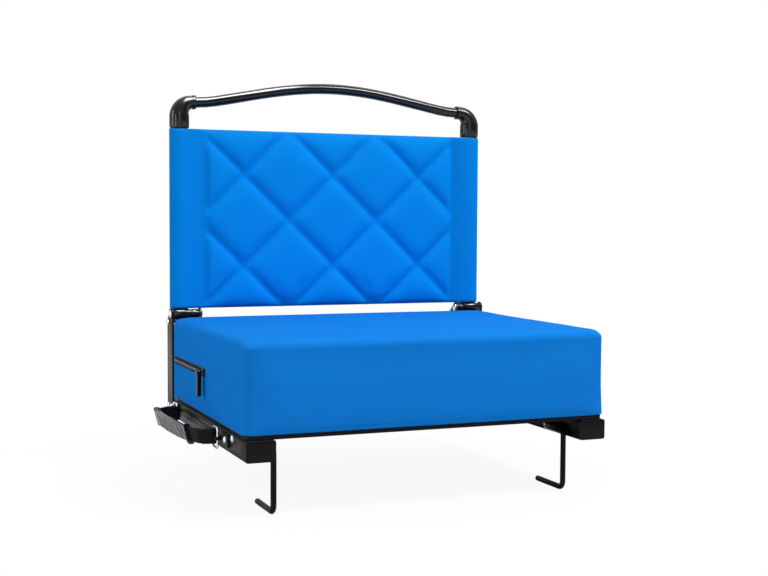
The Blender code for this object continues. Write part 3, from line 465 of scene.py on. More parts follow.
def inflate(piece, pinned, pressure, cap, tension=12.0, frames=20):
    """Cloth under slight pressure. No point moves further than the cap, and pinned points stay."""
    start = points_of(piece.data)
    group = piece.vertex_groups.new(name="held")
    for index, weight in enumerate(pinned):
        if weight > 0:
            group.add([index], float(weight), "REPLACE")
    cloth = piece.modifiers.new("cloth", "CLOTH")
    settings = cloth.settings
    settings.quality = 6
    settings.mass = 0.25
    settings.tension_stiffness = tension
    settings.compression_stiffness = tension
    settings.shear_stiffness = tension / 2
    settings.bending_stiffness = 0.6
    settings.use_pressure = True
    settings.uniform_pressure_force = pressure
    settings.vertex_group_mass = "held"
    settings.effector_weights.gravity = 0.0
    cloth.collision_settings.use_collision = False
    cloth.point_cache.frame_start = 1
    cloth.point_cache.frame_end = frames
    for number in range(1, frames + 1):
        scene.frame_set(number)
        bpy.context.view_layer.update()
    apply_modifiers(piece)
    scene.frame_set(1)
    end = points_of(piece.data)
    move = end - start
    length = np.linalg.norm(move, axis=1, keepdims=True)
    move *= np.minimum(1.0, cap / np.maximum(length, TINY))
    piece.data.vertices.foreach_set("co", (start + move).ravel())
    piece.data.update()


def subdivide(piece, levels):
    change = piece.modifiers.new("subdivision", "SUBSURF")
    change.levels = levels
    change.render_levels = levels
    apply_modifiers(piece)


# Hard pieces: the model's own shapes with softened edges

SATIN_STARTS = ("rail_", "strap_outer_", "handle_tab_", "hook_")
SOFT_NODES = ("seat_cover", "seat_foam", "back_cover", "back_foam")
REMADE_NODES = ("zip_tape", "zip_slider", "zip_pull", "handle_webbing", "handle_grip")
SOFT_SEGMENTS = 2
SOFT_RADIUS = 0.0006
STEEL_SOFT_RADIUS = 0.0003


def soften(node):
    """A copy of a model node whose sharp edges are slightly rounded."""
    slot = slot_of[node]
    radius = STEEL_SOFT_RADIUS if slot == "bright_steel" else SOFT_RADIUS
    mesh = rounded_mesh(clean_copy(node), node + "_finish", radius, SOFT_SEGMENTS)
    material = hard_finishes[slot]
    if node.startswith(SATIN_STARTS):
        material = satin_finishes.get(slot, material)
    if node == "top_bar":
        material = gloss_metal
    new_piece(mesh, material, body_of[node], slot, node)


def make_hard_pieces():
    for node in sorted(nodes):
        if node not in SOFT_NODES + REMADE_NODES:
            soften(node)


# Stitches

STITCH_DIP = 0.5
STITCH_LIFT = 0.0001
SEWN_REACH = 0.03


def stitch_mesh(name, runs, length, gap, radius):
    """Short thread stitches along runs of (points, normals), each a spindle that dips at both ends."""
    verts = []
    faces = []
    for points, normals in runs:
        points = np.asarray(points, float)
        normals = np.asarray(normals, float)
        steps = np.linalg.norm(np.diff(points, axis=0), axis=1)
        reach = np.concatenate(([0.0], np.cumsum(steps)))
        pitch = length + gap
        count = int(reach[-1] // pitch)
        for k in range(count):
            ends = []
            for s in (k * pitch + gap / 2, k * pitch + gap / 2 + length):
                place = [np.interp(s, reach, points[:, i]) for i in range(3)]
                out = [np.interp(s, reach, normals[:, i]) for i in range(3)]
                ends.append((np.array(place), np.array(out)))
            (a, out), (b, _) = ends
            run = (b - a) / max(np.linalg.norm(b - a), TINY)
            side = np.cross(run, out)
            side /= max(np.linalg.norm(side), TINY)
            lift = np.cross(side, run)
            middle = (a + b) / 2
            base = len(verts)
            verts.append(a - lift * radius * STITCH_DIP)
            for offset in (side, lift, -side, -lift):
                verts.append(middle + offset * radius)
            verts.append(b - lift * radius * STITCH_DIP)
            for i in range(4):
                j = (i + 1) % 4
                faces.append((base, base + 1 + i, base + 1 + j))
                faces.append((base + 5, base + 1 + j, base + 1 + i))
    return mesh_from(name, verts, faces, smooth_angle=80.0)


# Backrest pad

back_low, back_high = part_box("back_cover")
tube_low, tube_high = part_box("upright_tube_right")
TUBE_X = (tube_low.x + tube_high.x) / 2
TUBE_Y = (tube_low.y + tube_high.y) / 2
PANEL_Z = back_low.z
PANEL_TOP = back_high.z
PANEL_MID = (PANEL_Z + PANEL_TOP) / 2
PAD_PRESSURE = 1.2
PAD_SWELL = 0.0016

QUILT_DROP = 0.002
QUILT_MID = PANEL_MID - QUILT_DROP
QUILT_X = 0.0610
QUILT_Z = 0.0590
QUILT_CELLS = 16
QUILT_MARGIN = 0.004
QUILT_STITCH = {"length": 0.0028, "gap": 0.0011, "radius": 0.00028}
PUFF_HALF = 0.0142
PUFF_POWER = 6.0
PUFF_EASE = 0.75

SEAM_INSET = 0.031
SEAM_X = TUBE_X - SEAM_INSET
SEAM_HALF = 0.0055
SEAM_SHARE = 0.02
SEAM_SAMPLES = 800
SHORTEST_SEAM = 20
LAST_SEAM = 9
SEWN_STEP = 0.002

EDGE_HALF = 0.0056
SIDE_HALF = 0.0088
SIDE_WIDTH = 0.009
HEM_WIDTH = 0.020
HEM_RISE = 0.00105
HEM_SQUEEZE = 0.55
HEM_NEXT_SQUEEZE = 0.85

SLEEVE_R = back_high.x - TUBE_X
SLEEVE_TURN = math.radians(112)
SLEEVE_LEAD = 6
SLEEVE_ARC = 14
SLEEVE_EASE = 0.35
SLEEVE_SQUEEZE = 0.5


def puff_share(x, z):
    """0 on a quilting seam and 1 in a puff's middle."""
    u = x / QUILT_X
    v = (z - QUILT_MID) / QUILT_Z
    p = abs((u + v + 1) % 2 - 1)
    q = abs((u - v + 1) % 2 - 1)
    return ((1 - p ** PUFF_POWER) * (1 - q ** PUFF_POWER)) ** PUFF_EASE


def rolled(distance, width):
    """A quarter round: 0 at an edge and 1 from the width inward."""
    share = min(1.0, max(0.0, distance / width))
    return math.sqrt(1 - (1 - share) ** 2)


def pad_half(x, z):
    """Half the quilted field's thickness at a place on its face."""
    hem = rolled(min(PANEL_TOP - z, z - PANEL_Z), HEM_WIDTH)
    side = rolled(SEAM_X - abs(x), SIDE_WIDTH)
    thin = EDGE_HALF + (SEAM_HALF - EDGE_HALF) * hem
    full = thin + (PUFF_HALF - thin) * puff_share(x, z) * hem
    return SIDE_HALF + (full - SIDE_HALF) * side


def spread(half, step):
    """Evenly spaced values about 0, and both ends. The last gaps are at least a third of a step."""
    count = int((half - step / 3) / step)
    return [-half] + [step * i for i in range(-count, count + 1)] + [half]


def sleeve_line():
    """Half a sleeve's section from the seam round the tube, as (x, depth)."""
    line = []
    first = (TUBE_X + SLEEVE_R * math.cos(SLEEVE_TURN), SLEEVE_R * math.sin(SLEEVE_TURN))
    for i in range(1, SLEEVE_LEAD):
        t = i / SLEEVE_LEAD
        ease = t * t * (3 - 2 * t) * SLEEVE_EASE + t * (1 - SLEEVE_EASE)
        line.append((SEAM_X + (first[0] - SEAM_X) * t, SIDE_HALF + (first[1] - SIDE_HALF) * ease))
    for i in range(SLEEVE_ARC + 1):
        turn = SLEEVE_TURN * (1 - i / SLEEVE_ARC)
        line.append((TUBE_X + SLEEVE_R * math.cos(turn), SLEEVE_R * math.sin(turn)))
    return line


def pad_row(z, squeeze, columns, sleeve):
    """One level loop round the whole pad. Squeeze shrinks its depth for the rolled hems."""
    half = [(x, d * (1 - SLEEVE_SQUEEZE + SLEEVE_SQUEEZE * squeeze)) for x, d in sleeve]
    line = [(-x, d) for x, d in reversed(half)]
    line += [(x, pad_half(x, z) * squeeze) for x in columns]
    line += half
    front = [(x, TUBE_Y - d, z) for x, d in line]
    back = [(x, TUBE_Y + d, z) for x, d in line[-2:0:-1]]
    return front + back


def make_back_pad():
    """The quilted pad with a sleeve round each tube, swollen between its seams."""
    columns = spread(SEAM_X, QUILT_X / QUILT_CELLS)
    rows = [PANEL_MID + z for z in spread((PANEL_TOP - PANEL_Z) / 2, QUILT_Z / QUILT_CELLS)]
    sleeve = sleeve_line()
    levels = [(rows[0], HEM_SQUEEZE), (rows[0] + HEM_RISE, HEM_NEXT_SQUEEZE)]
    levels += [(z, 1.0) for z in rows[1:-1]]
    levels += [(rows[-1] - HEM_RISE, HEM_NEXT_SQUEEZE), (rows[-1], HEM_SQUEEZE)]
    loops = [pad_row(z, squeeze, columns, sleeve) for z, squeeze in levels]
    verts, faces = loft_arrays(loops, strips=True)
    mesh = mesh_from("back_pad", verts, faces, smooth_angle=75.0)
    piece = new_piece(mesh, back_cloth, "backrest", "blue_fabric", "back_cover", "back_foam")
    pinned = []
    for x, y, z in verts:
        edge = abs(x) >= SEAM_X - SAME_POINT or z < rows[1] or z > rows[-2]
        pinned.append(1.0 if edge or puff_share(x, z) < SEAM_SHARE else 0.0)
    inflate(piece, pinned, pressure=PAD_PRESSURE, cap=PAD_SWELL)
    subdivide(piece, 1)
    return piece


def surface_run(tree, start, end, side):
    """Points and outward directions of a line sewn over the pad's front (-1) or back (1)."""
    start = np.array(start)
    end = np.array(end)
    count = max(2, int(np.linalg.norm(end - start) / SEWN_STEP))
    out = Vector((0.0, float(side), 0.0))
    points = []
    normals = []
    for i in range(count + 1):
        x, z = start + (end - start) * i / count
        spot = tree.ray_cast(Vector((x, TUBE_Y + side * SEWN_REACH, z)), -out, SEWN_REACH)[0]
        if spot is not None:
            points.append(spot + out * STITCH_LIFT)
            normals.append(out)
    return points, normals


def quilt_lines():
    """The quilting seams as pairs of (x, z) ends, clipped to the quilted field."""
    lines = []
    low = np.array((-SEAM_X + QUILT_MARGIN, PANEL_Z + QUILT_MARGIN))
    high = np.array((SEAM_X - QUILT_MARGIN, PANEL_TOP - QUILT_MARGIN))
    for slope in (1, -1):
        for odd in range(-LAST_SEAM, LAST_SEAM + 1, 2):
            spots = []
            for x in np.linspace(low[0], high[0], SEAM_SAMPLES):
                z = QUILT_MID + slope * (odd - x / QUILT_X) * QUILT_Z
                if low[1] <= z <= high[1]:
                    spots.append((x, z))
            if len(spots) > SHORTEST_SEAM:
                lines.append((spots[0], spots[-1]))
    return lines


def make_back_stitches(pad):
    """Rows of stitches laid on the pad along its quilting."""
    tree = BVHTree.FromObject(pad, bpy.context.evaluated_depsgraph_get())
    runs = []
    for side in (-1, 1):
        for start, end in quilt_lines():
            runs.append(surface_run(tree, start, end, side))
    mesh = stitch_mesh("back_stitches", runs, **QUILT_STITCH)
    new_piece(mesh, blue_thread, "backrest", "blue_fabric")


# Seat cushion

seat_low, seat_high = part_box("seat_cover")
CROWN = 0.002
CROWN_POWER = 4
SIDE_DRAW = 0.0010
EDGE_POWER = 9
EDGE_R = 0.0085
EDGE_SEGMENTS = 5
CORNER_R = 0.014
CORNER_SEGMENTS = 6
REAR_CORNER_R = 0.004
REAR_CORNER_SEGMENTS = 4
CORNER_TOLERANCE = 1e-5
BOARD_CLEAR = 0.0002
SKIRT_DROP = 0.0008
SKIRT_WALL = 0.0018
CUSHION_GRID = 0.008
GRID_START = 0.001
CUT_DISTANCE = 1e-7
CUSHION_PRESSURE = 1.5
CUSHION_SWELL = 0.0014
CUSHION_TENSION = 20.0
PINNED_HEIGHT = 0.002
PINNED_FADE = 0.006
PINNED_CORNER = 0.008
HEM_UP = 0.0045
HEM_STEP = 0.004
HEM_CORNER_STEPS = 8
HEM_START = 0.01
HEM_STITCH = {"length": 0.0030, "gap": 0.0012, "radius": 0.00030}


def slice_grid(bm, axis, low, high, step):
    """Cuts the mesh by evenly spaced planes across one axis."""
    count = max(1, round((high - low) / step))
    normal = Vector((0.0, 0.0, 0.0))
    normal[axis] = 1.0
    for i in range(count + 1):
        place = normal * (low + (high - low) * i / count)
        geom = bm.verts[:] + bm.edges[:] + bm.faces[:]
        bmesh.ops.bisect_plane(bm, geom=geom, plane_co=place, plane_no=normal, dist=CUT_DISTANCE)


def cushion_block(half, middle_y, bottom, top):
    """A block with round upper edges and corners, a skirt underneath and a grid of cuts."""
    rim = bottom - SKIRT_DROP
    bm = bmesh.new()
    bmesh.ops.create_cube(bm, size=2.0)
    for vert in bm.verts:
        z = top if vert.co.z > 0 else rim
        vert.co = Vector((vert.co.x * half.x, middle_y + vert.co.y * half.y, z))
    upper = [e for e in bm.edges if all(v.co.z > top - SAME_POINT for v in e.verts)]
    bevel_edges(bm, upper, EDGE_R, EDGE_SEGMENTS)

    def on_corner(vert):
        return abs(half.x - abs(vert.co.x) - half.y + abs(vert.co.y - middle_y)) < CORNER_TOLERANCE

    corners = ((False, CORNER_R, CORNER_SEGMENTS), (True, REAR_CORNER_R, REAR_CORNER_SEGMENTS))
    for rear, radius, segments in corners:
        chain = [e for e in bm.edges if on_corner(e.verts[0]) and on_corner(e.verts[1])]
        chain = [e for e in chain if (e.verts[0].co.y > middle_y) == rear and e.calc_length() < half.y]
        bevel_edges(bm, chain, radius, segments)
    lower = [f for f in bm.faces if all(v.co.z < rim + SAME_POINT for v in f.verts)]
    bmesh.ops.inset_region(bm, faces=lower, thickness=SKIRT_WALL)
    lower = [f for f in bm.faces if all(v.co.z < rim + SAME_POINT for v in f.verts)]
    widest = max(lower, key=lambda f: f.calc_area())
    raised = bmesh.ops.extrude_discrete_faces(bm, faces=[widest])["faces"][0]
    for vert in raised.verts:
        vert.co.z = bottom
    bmesh.ops.remove_doubles(bm, verts=bm.verts, dist=SAME_POINT)
    slice_grid(bm, 0, CORNER_R - half.x, half.x - CORNER_R, CUSHION_GRID)
    slice_grid(bm, 1, middle_y + CORNER_R - half.y, middle_y + half.y - CORNER_R, CUSHION_GRID)
    slice_grid(bm, 2, bottom + GRID_START, top - EDGE_R, CUSHION_GRID)
    return bm


def shape_block(bm, half, middle_y, bottom, top):
    """Crowns the block's top and draws its sides in between the corners."""
    for vert in bm.verts:
        x = vert.co.x / half.x
        y = (vert.co.y - middle_y) / half.y
        z = max(0.0, (vert.co.z - bottom) / (top - bottom))
        belly = math.sin(math.pi * min(1.0, z)) * SIDE_DRAW
        vert.co.x -= belly * x ** EDGE_POWER * (1 - y ** CROWN_POWER)
        vert.co.y -= belly * y ** EDGE_POWER * (1 - x ** CROWN_POWER)
        vert.co.z += CROWN * (1 - x ** CROWN_POWER) * (1 - y ** CROWN_POWER) * z ** EDGE_POWER


def make_cushion():
    """A block cushion with a slight crown, drawn-in sides and a skirt round the board's edge."""
    half = Vector(((seat_high.x - seat_low.x) / 2, (seat_high.y - seat_low.y) / 2, 0.0))
    middle_y = (seat_low.y + seat_high.y) / 2
    bottom = seat_low.z + BOARD_CLEAR
    top = seat_high.z - CROWN
    bm = cushion_block(half, middle_y, bottom, top)
    shape_block(bm, half, middle_y, bottom, top)
    mesh = bpy.data.meshes.new("seat_cushion")
    bm.to_mesh(mesh)
    bm.free()
    mesh.shade_smooth()
    piece = new_piece(mesh, seat_cloth, "base", "blue_fabric", "seat_cover", "seat_foam")
    x, y, z = points_of(piece.data).T
    pinned = np.clip(1 - (z - bottom - PINNED_HEIGHT) / PINNED_FADE, 0.0, 1.0)
    rear_corner = (np.abs(x) > half.x - PINNED_CORNER) & (y > seat_high.y - PINNED_CORNER)
    pinned = np.maximum(pinned, rear_corner)
    inflate(piece, pinned, pressure=CUSHION_PRESSURE, cap=CUSHION_SWELL, tension=CUSHION_TENSION)
    subdivide(piece, 1)
    make_hem_stitches(piece)
    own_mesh(piece)


def hem_line():
    """Points and outward directions round the cushion at the hem's height."""
    points = []
    normals = []
    radii = ((1, -1, CORNER_R), (1, 1, REAR_CORNER_R), (-1, 1, REAR_CORNER_R), (-1, -1, CORNER_R))
    for index, (side_x, side_y, radius) in enumerate(radii):
        edge_x = seat_high.x if side_x > 0 else seat_low.x
        edge_y = seat_high.y if side_y > 0 else seat_low.y
        centre = Vector((edge_x - side_x * radius, edge_y - side_y * radius, seat_low.z + HEM_UP))
        for i in range(HEM_CORNER_STEPS + 1):
            turn = math.pi / 2 * (index - 1 + i / HEM_CORNER_STEPS)
            out = Vector((math.cos(turn), math.sin(turn), 0.0))
            points.append(centre + out * radius)
            normals.append(out)
    return points + points[:1], normals + normals[:1]


def make_hem_stitches(cushion):
    """A row of stitches laid on the cushion just above its lower edge."""
    tree = BVHTree.FromObject(cushion, bpy.context.evaluated_depsgraph_get())
    corners, outs = hem_line()
    points = []
    normals = []
    for start, end, out_a, out_b in zip(corners, corners[1:], outs, outs[1:]):
        count = max(1, round((end - start).length / HEM_STEP))
        for i in range(count):
            out = out_a.lerp(out_b, i / count).normalized()
            outside = start.lerp(end, i / count) + out * HEM_START
            spot = tree.ray_cast(outside, -out, SEWN_REACH)[0]
            if spot is not None:
                points.append(spot + out * STITCH_LIFT)
                normals.append(out)
    mesh = stitch_mesh("seat_stitches", [(points, normals)], **HEM_STITCH)
    new_piece(mesh, blue_thread, "base", "blue_fabric")


# Zip

tape_low, tape_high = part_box("zip_tape")
slider_low, slider_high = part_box("zip_slider")
ZIP_Z = (tape_low.z + tape_high.z) / 2
TAPE_THICK = 0.0009
TAPE_INSET = 0.0005
TAPE_FACE = tape_high.x - TAPE_THICK
TAPE_HALF = (tape_high.z - tape_low.z) / 2
TAPE_FRONT = slider_low.y + TAPE_INSET
TAPE_STEPS = 60
TAPE_EDGE = 0.0001
TAPE_RIDGE = 0.0002
TAPE_VALLEY = 0.42
RIPPLE = 0.00012
RIPPLE_TURN = 1.9
TOOTH_PITCH = 0.0016
TOOTH_SHARE = 0.62
TOOTH_HALF = 0.0014
TOOTH_LEAN = 0.0005
TEETH_INSET = 0.002
STOP_FRONT = 0.0002
STOP_REAR = 0.0016
STOP_HALF = 0.0021
ZIP_SEAM_INSET = 0.0011
ZIP_SEAM_LIFT = 0.0003
ZIP_SEAM_STEPS = 40
ZIP_STITCH = {"length": 0.0024, "gap": 0.0009, "radius": 0.00022}
SLIDER_Y = (slider_low.y + slider_high.y) / 2
SLIDER_SIDE = 0.9
SLIDER_TAPER = 0.78
SLIDER_SOFT = 0.0004
SLIDER_SEGMENTS = 2
PULL_SOFT = 0.0007
PULL_SEGMENTS = 3


def box_mesh(parts):
    """Vertices and faces of separate blocks (low, high)."""
    verts = []
    faces = []
    for low, high in parts:
        base = len(verts)
        for z in (low[2], high[2]):
            verts += [(low[0], low[1], z), (high[0], low[1], z), (high[0], high[1], z), (low[0], high[1], z)]
        quads = ((0, 3, 2, 1), (4, 5, 6, 7), (0, 1, 5, 4), (1, 2, 6, 5), (2, 3, 7, 6), (3, 0, 4, 7))
        faces += [tuple(base + i for i in quad) for quad in quads]
    return verts, faces


def make_tape():
    """The zip's woven tape with slightly wavy edges."""
    loops = []
    for i in range(TAPE_STEPS + 1):
        y = TAPE_FRONT + (tape_high.y - TAPE_FRONT) * i / TAPE_STEPS
        ripple = RIPPLE * math.sin(i * RIPPLE_TURN)
        section = [
            (tape_high.x, TAPE_HALF),
            (TAPE_FACE - TAPE_EDGE, TAPE_HALF + ripple),
            (TAPE_FACE, TAPE_HALF * TAPE_VALLEY),
            (TAPE_FACE - TAPE_RIDGE, 0.0),
            (TAPE_FACE, -TAPE_HALF * TAPE_VALLEY),
            (TAPE_FACE - TAPE_EDGE, -TAPE_HALF + ripple),
            (tape_high.x, -TAPE_HALF),
        ]
        loops.append([(x, y, ZIP_Z + z) for x, z in section])
    verts, faces = loft_arrays(loops)
    mesh = mesh_from("zip_tape_woven", verts, faces, smooth_angle=50.0)
    new_piece(mesh, tape_webbing, "base", "black_webbing", "zip_tape")


def make_teeth():
    """The closed zip's teeth, set up and down in turn, and the stop at its front end."""
    parts = []
    y = TAPE_FRONT + TEETH_INSET
    index = 0
    while y < tape_high.y - TEETH_INSET:
        lean = TOOTH_LEAN if index % 2 else -TOOTH_LEAN
        low = (tape_low.x, y, ZIP_Z - TOOTH_HALF + lean)
        high = (TAPE_FACE, y + TOOTH_PITCH * TOOTH_SHARE, ZIP_Z + TOOTH_HALF + lean)
        parts.append((low, high))
        y += TOOTH_PITCH
        index += 1
    low = (tape_low.x, TAPE_FRONT + STOP_FRONT, ZIP_Z - STOP_HALF)
    high = (TAPE_FACE, TAPE_FRONT + STOP_REAR, ZIP_Z + STOP_HALF)
    parts.append((low, high))
    verts, faces = box_mesh(parts)
    mesh = mesh_from("zip_teeth", verts, faces, smooth_angle=30.0)
    new_piece(mesh, coil_plastic, "base", "black_webbing")


def make_zip_stitches():
    """A row of stitches along each edge of the tape."""
    runs = []
    for z in (ZIP_Z - TAPE_HALF + ZIP_SEAM_INSET, ZIP_Z + TAPE_HALF - ZIP_SEAM_INSET):
        points = []
        for i in range(ZIP_SEAM_STEPS + 1):
            y = TAPE_FRONT + (tape_high.y - TAPE_FRONT) * i / ZIP_SEAM_STEPS
            points.append((TAPE_FACE - ZIP_SEAM_LIFT, y, z))
        runs.append((points, [(-1.0, 0.0, 0.0)] * len(points)))
    mesh = stitch_mesh("zip_stitches", runs, **ZIP_STITCH)
    new_piece(mesh, black_thread, "base", "black_webbing")


def make_slider():
    """The slider's body with its bridge: the model's shape, narrower at its rear end."""
    bm = clean_copy("zip_slider")
    half = (slider_high.z - slider_low.z) / 2
    for vert in bm.verts:
        if abs(vert.co.z - ZIP_Z) > half * SLIDER_SIDE:
            taper = SLIDER_TAPER if vert.co.y > SLIDER_Y else 1.0
            vert.co.z = ZIP_Z + (vert.co.z - ZIP_Z) * taper
    mesh = rounded_mesh(bm, "zip_slider_body", SLIDER_SOFT, SLIDER_SEGMENTS)
    new_piece(mesh, gun_metal, "zip_slider", "black_metal", "zip_slider")


def make_pull():
    """A moulded pull tab: the model's shape with soft edges."""
    mesh = rounded_mesh(clean_copy("zip_pull"), "zip_pull_tab", PULL_SOFT, PULL_SEGMENTS)
    new_piece(mesh, satin_plastic, "zip_pull", "black_webbing", "zip_pull")


# Carry handle

ring_low, ring_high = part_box("handle_ring_front")
rear_ring_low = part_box("handle_ring_rear")[0]
grip_low, grip_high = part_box("handle_grip")
web_low, web_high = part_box("handle_webbing")
WIRE_R = 0.00125
HANDLE_X = (ring_low.x + ring_high.x) / 2
HANDLE_Z = (ring_low.z + ring_high.z) / 2
BAR_FRONT = ring_high.y - WIRE_R
BAR_REAR = rear_ring_low.y + WIRE_R
HANDLE_Y = (BAR_FRONT + BAR_REAR) / 2
HANDLE_SPAN = BAR_REAR - BAR_FRONT
HANDLE_REACH = 0.0265
HANDLE_POWER = 3.5
HANDLE_SHEAR = 0.0035
SHEAR_POWER = 6
HANDLE_LEAN = math.tan(math.radians(15))
LEAN_START = 0.006
LEAN_FADE = 0.012

WEB_THICK = 0.0022
WEB_WIDTH = web_high.z - web_low.z
WEB_EDGE_THICK = 0.4
WEB_EDGE_HEIGHT = 0.93
LOOP_CLEAR = 0.00035
LOOP_STEPS = 14
LEAD_COUNT = 18
LEAD_STEP = 0.0025
LEAD_SKIP = 2
TAIL_STEPS = 8
TAIL_LENGTH = 0.014
TAIL_GAP = 0.0007
TAIL_RUSH = 1.6
WEB_GRIP_STEPS = 30

GRIP_ENDS = 0.042
GRIP_LENGTH = HANDLE_SPAN - GRIP_ENDS
GRIP_STEPS = 240
GRIP_FACE = 24
GRIP_EDGE = 8
GRIP_EDGE_R = 0.0020
GRIP_HEIGHT = 0.80
GRIP_LENS_HEIGHT = 0.12
GRIP_OUTSIDE = 0.0034
GRIP_LENS_OUTSIDE = 0.0014
GRIP_INSIDE = 0.0026
GRIP_LENS_INSIDE = 0.0010
LENS_POWER = 0.5
FLARE_SHARE = 0.07
FLARE_POWER = 1.4
FLARE_HEIGHT = 0.0034
FLARE_OUTSIDE = 0.0022
GRIP_RIBS = 7
GRIP_SLANT = 0.9
RIB_DEPTH = 0.0030
RIBS_START = 0.10
RIBS_END = 0.88
RIB_HEIGHT = 0.92
RIB_FADE = 0.12
HOLE_CLEAR = 0.0003
HOLE_EDGE_R = 0.0004
HOLE_STEP = 10


def handle_point(y):
    """The handle's middle line, which bows out to the left and a little further at the rear."""
    share = min(1.0, abs(2 * (y - HANDLE_Y) / HANDLE_SPAN))
    x = HANDLE_X - HANDLE_REACH * (1 - share ** HANDLE_POWER) ** (1 / HANDLE_POWER)
    x -= HANDLE_SHEAR * 2 * (y - HANDLE_Y) / HANDLE_SPAN * (1 - share ** SHEAR_POWER)
    return Vector((x, y, HANDLE_Z))


def strap_path():
    """The webbing's middle line: a tail, a turn round the front ring, the grip, and the same behind."""
    loop_r = WIRE_R + LOOP_CLEAR + WEB_THICK / 2
    bar = handle_point(BAR_FRONT)
    run = (HANDLE_SPAN - GRIP_LENGTH) / 2 - loop_r
    lead = [bar + Vector((0.0, loop_r, 0.0))]
    for i in range(1, LEAD_COUNT):
        point = handle_point(bar.y + loop_r + run * (i / LEAD_COUNT) ** 2)
        if (point - lead[-1]).length > LEAD_STEP:
            lead.append(point)
    around = []
    for i in range(1, LOOP_STEPS + 1):
        turn = math.pi / 2 - math.pi * i / LOOP_STEPS
        around.append(bar + Vector((loop_r * math.cos(turn), loop_r * math.sin(turn), 0.0)))
    tail = []
    for i in range(1, TAIL_STEPS + 1):
        t = i / TAIL_STEPS
        closing = (2 * loop_r - WEB_THICK - TAIL_GAP) * min(1.0, TAIL_RUSH * t) * t
        tail.append(around[-1] + Vector((-TAIL_LENGTH * t, closing, 0.0)))
    front = (around + tail)[::-1] + lead
    loop = len(around + tail) + 1
    rear = [handle_point(2 * HANDLE_Y - p.y) for p in reversed(lead[LEAD_SKIP:])]
    rear += [Vector((p.x, 2 * HANDLE_Y - p.y, p.z)) for p in reversed(front[:loop])]
    start = HANDLE_Y - GRIP_LENGTH / 2
    middle = [handle_point(start + GRIP_LENGTH * i / WEB_GRIP_STEPS) for i in range(WEB_GRIP_STEPS + 1)]
    return front + middle + rear


def level_normals(path):
    """Level directions to the left of a path's run."""
    normals = []
    for i in range(len(path)):
        run = (path[min(i + 1, len(path) - 1)] - path[max(i - 1, 0)]).normalized()
        normals.append(Vector((-run.y, run.x, 0.0)))
    return normals


def leaning(point, normal, a, b):
    """A section point a outward and b up, whose top leans to the left away from the rings."""
    away = min(1.0, max(0.0, (HANDLE_X - LEAN_START - point.x) / LEAN_FADE))
    return point + normal * a + Vector((-b * HANDLE_LEAN * away, 0.0, b))


def make_strap():
    """The handle's webbing as one strip that turns round both rings."""
    path = strap_path()
    normals = level_normals(path)
    half = WEB_WIDTH / 2
    thick = WEB_THICK / 2
    section = [
        (thick * WEB_EDGE_THICK, half),
        (thick, half * WEB_EDGE_HEIGHT),
        (thick, 0.0),
        (thick, -half * WEB_EDGE_HEIGHT),
        (thick * WEB_EDGE_THICK, -half),
    ]
    section += [(-a, b) for a, b in reversed(section)]
    loops = []
    for point, normal in zip(path, normals):
        loops.append([leaning(point, normal, a, b) for a, b in section])
    verts, faces = loft_arrays(loops)
    mesh = mesh_from("handle_strap", verts, faces, smooth_angle=45.0)
    new_piece(mesh, strap_webbing, "handle", "black_webbing", "handle_webbing")


def grip_ring(half_height, outside, inside, edge, carve):
    """A section as (depth, height) pairs: a carved outer face, round edges and a flat inner face."""
    flat = half_height - edge
    ring = []
    for i in range(GRIP_FACE + 1):
        b = 1 - 2 * i / GRIP_FACE
        ring.append((outside - carve(b), flat * b))
    middle = (outside - inside) / 2
    reach = (outside + inside) / 2
    for i in range(1, GRIP_EDGE):
        turn = math.pi * i / GRIP_EDGE
        ring.append((middle + reach * math.cos(turn), -flat - edge * math.sin(turn)))
    for i in range(GRIP_FACE // 2 + 1):
        ring.append((-inside, -flat + 2 * flat * i / (GRIP_FACE // 2)))
    for i in range(1, GRIP_EDGE):
        turn = math.pi * (1 + i / GRIP_EDGE)
        ring.append((middle + reach * math.cos(turn), flat - edge * math.sin(turn)))
    return ring


def crease_depth(share, b):
    """Depth below the slanted round ribs at a share of the grip's length and a height from -1 to 1."""
    along = (share - RIBS_START) / (RIBS_END - RIBS_START) * GRIP_RIBS + GRIP_SLANT * (1 - b) / 2
    if not 0.0 < along < GRIP_RIBS:
        return 0.0
    wave = abs(along % 1.0 - 0.5) * 2
    fade = min(1.0, max(0.0, (RIB_HEIGHT - abs(b)) / RIB_FADE))
    return RIB_DEPTH * (1 - math.sqrt(max(0.0, 1 - wave * wave))) * fade


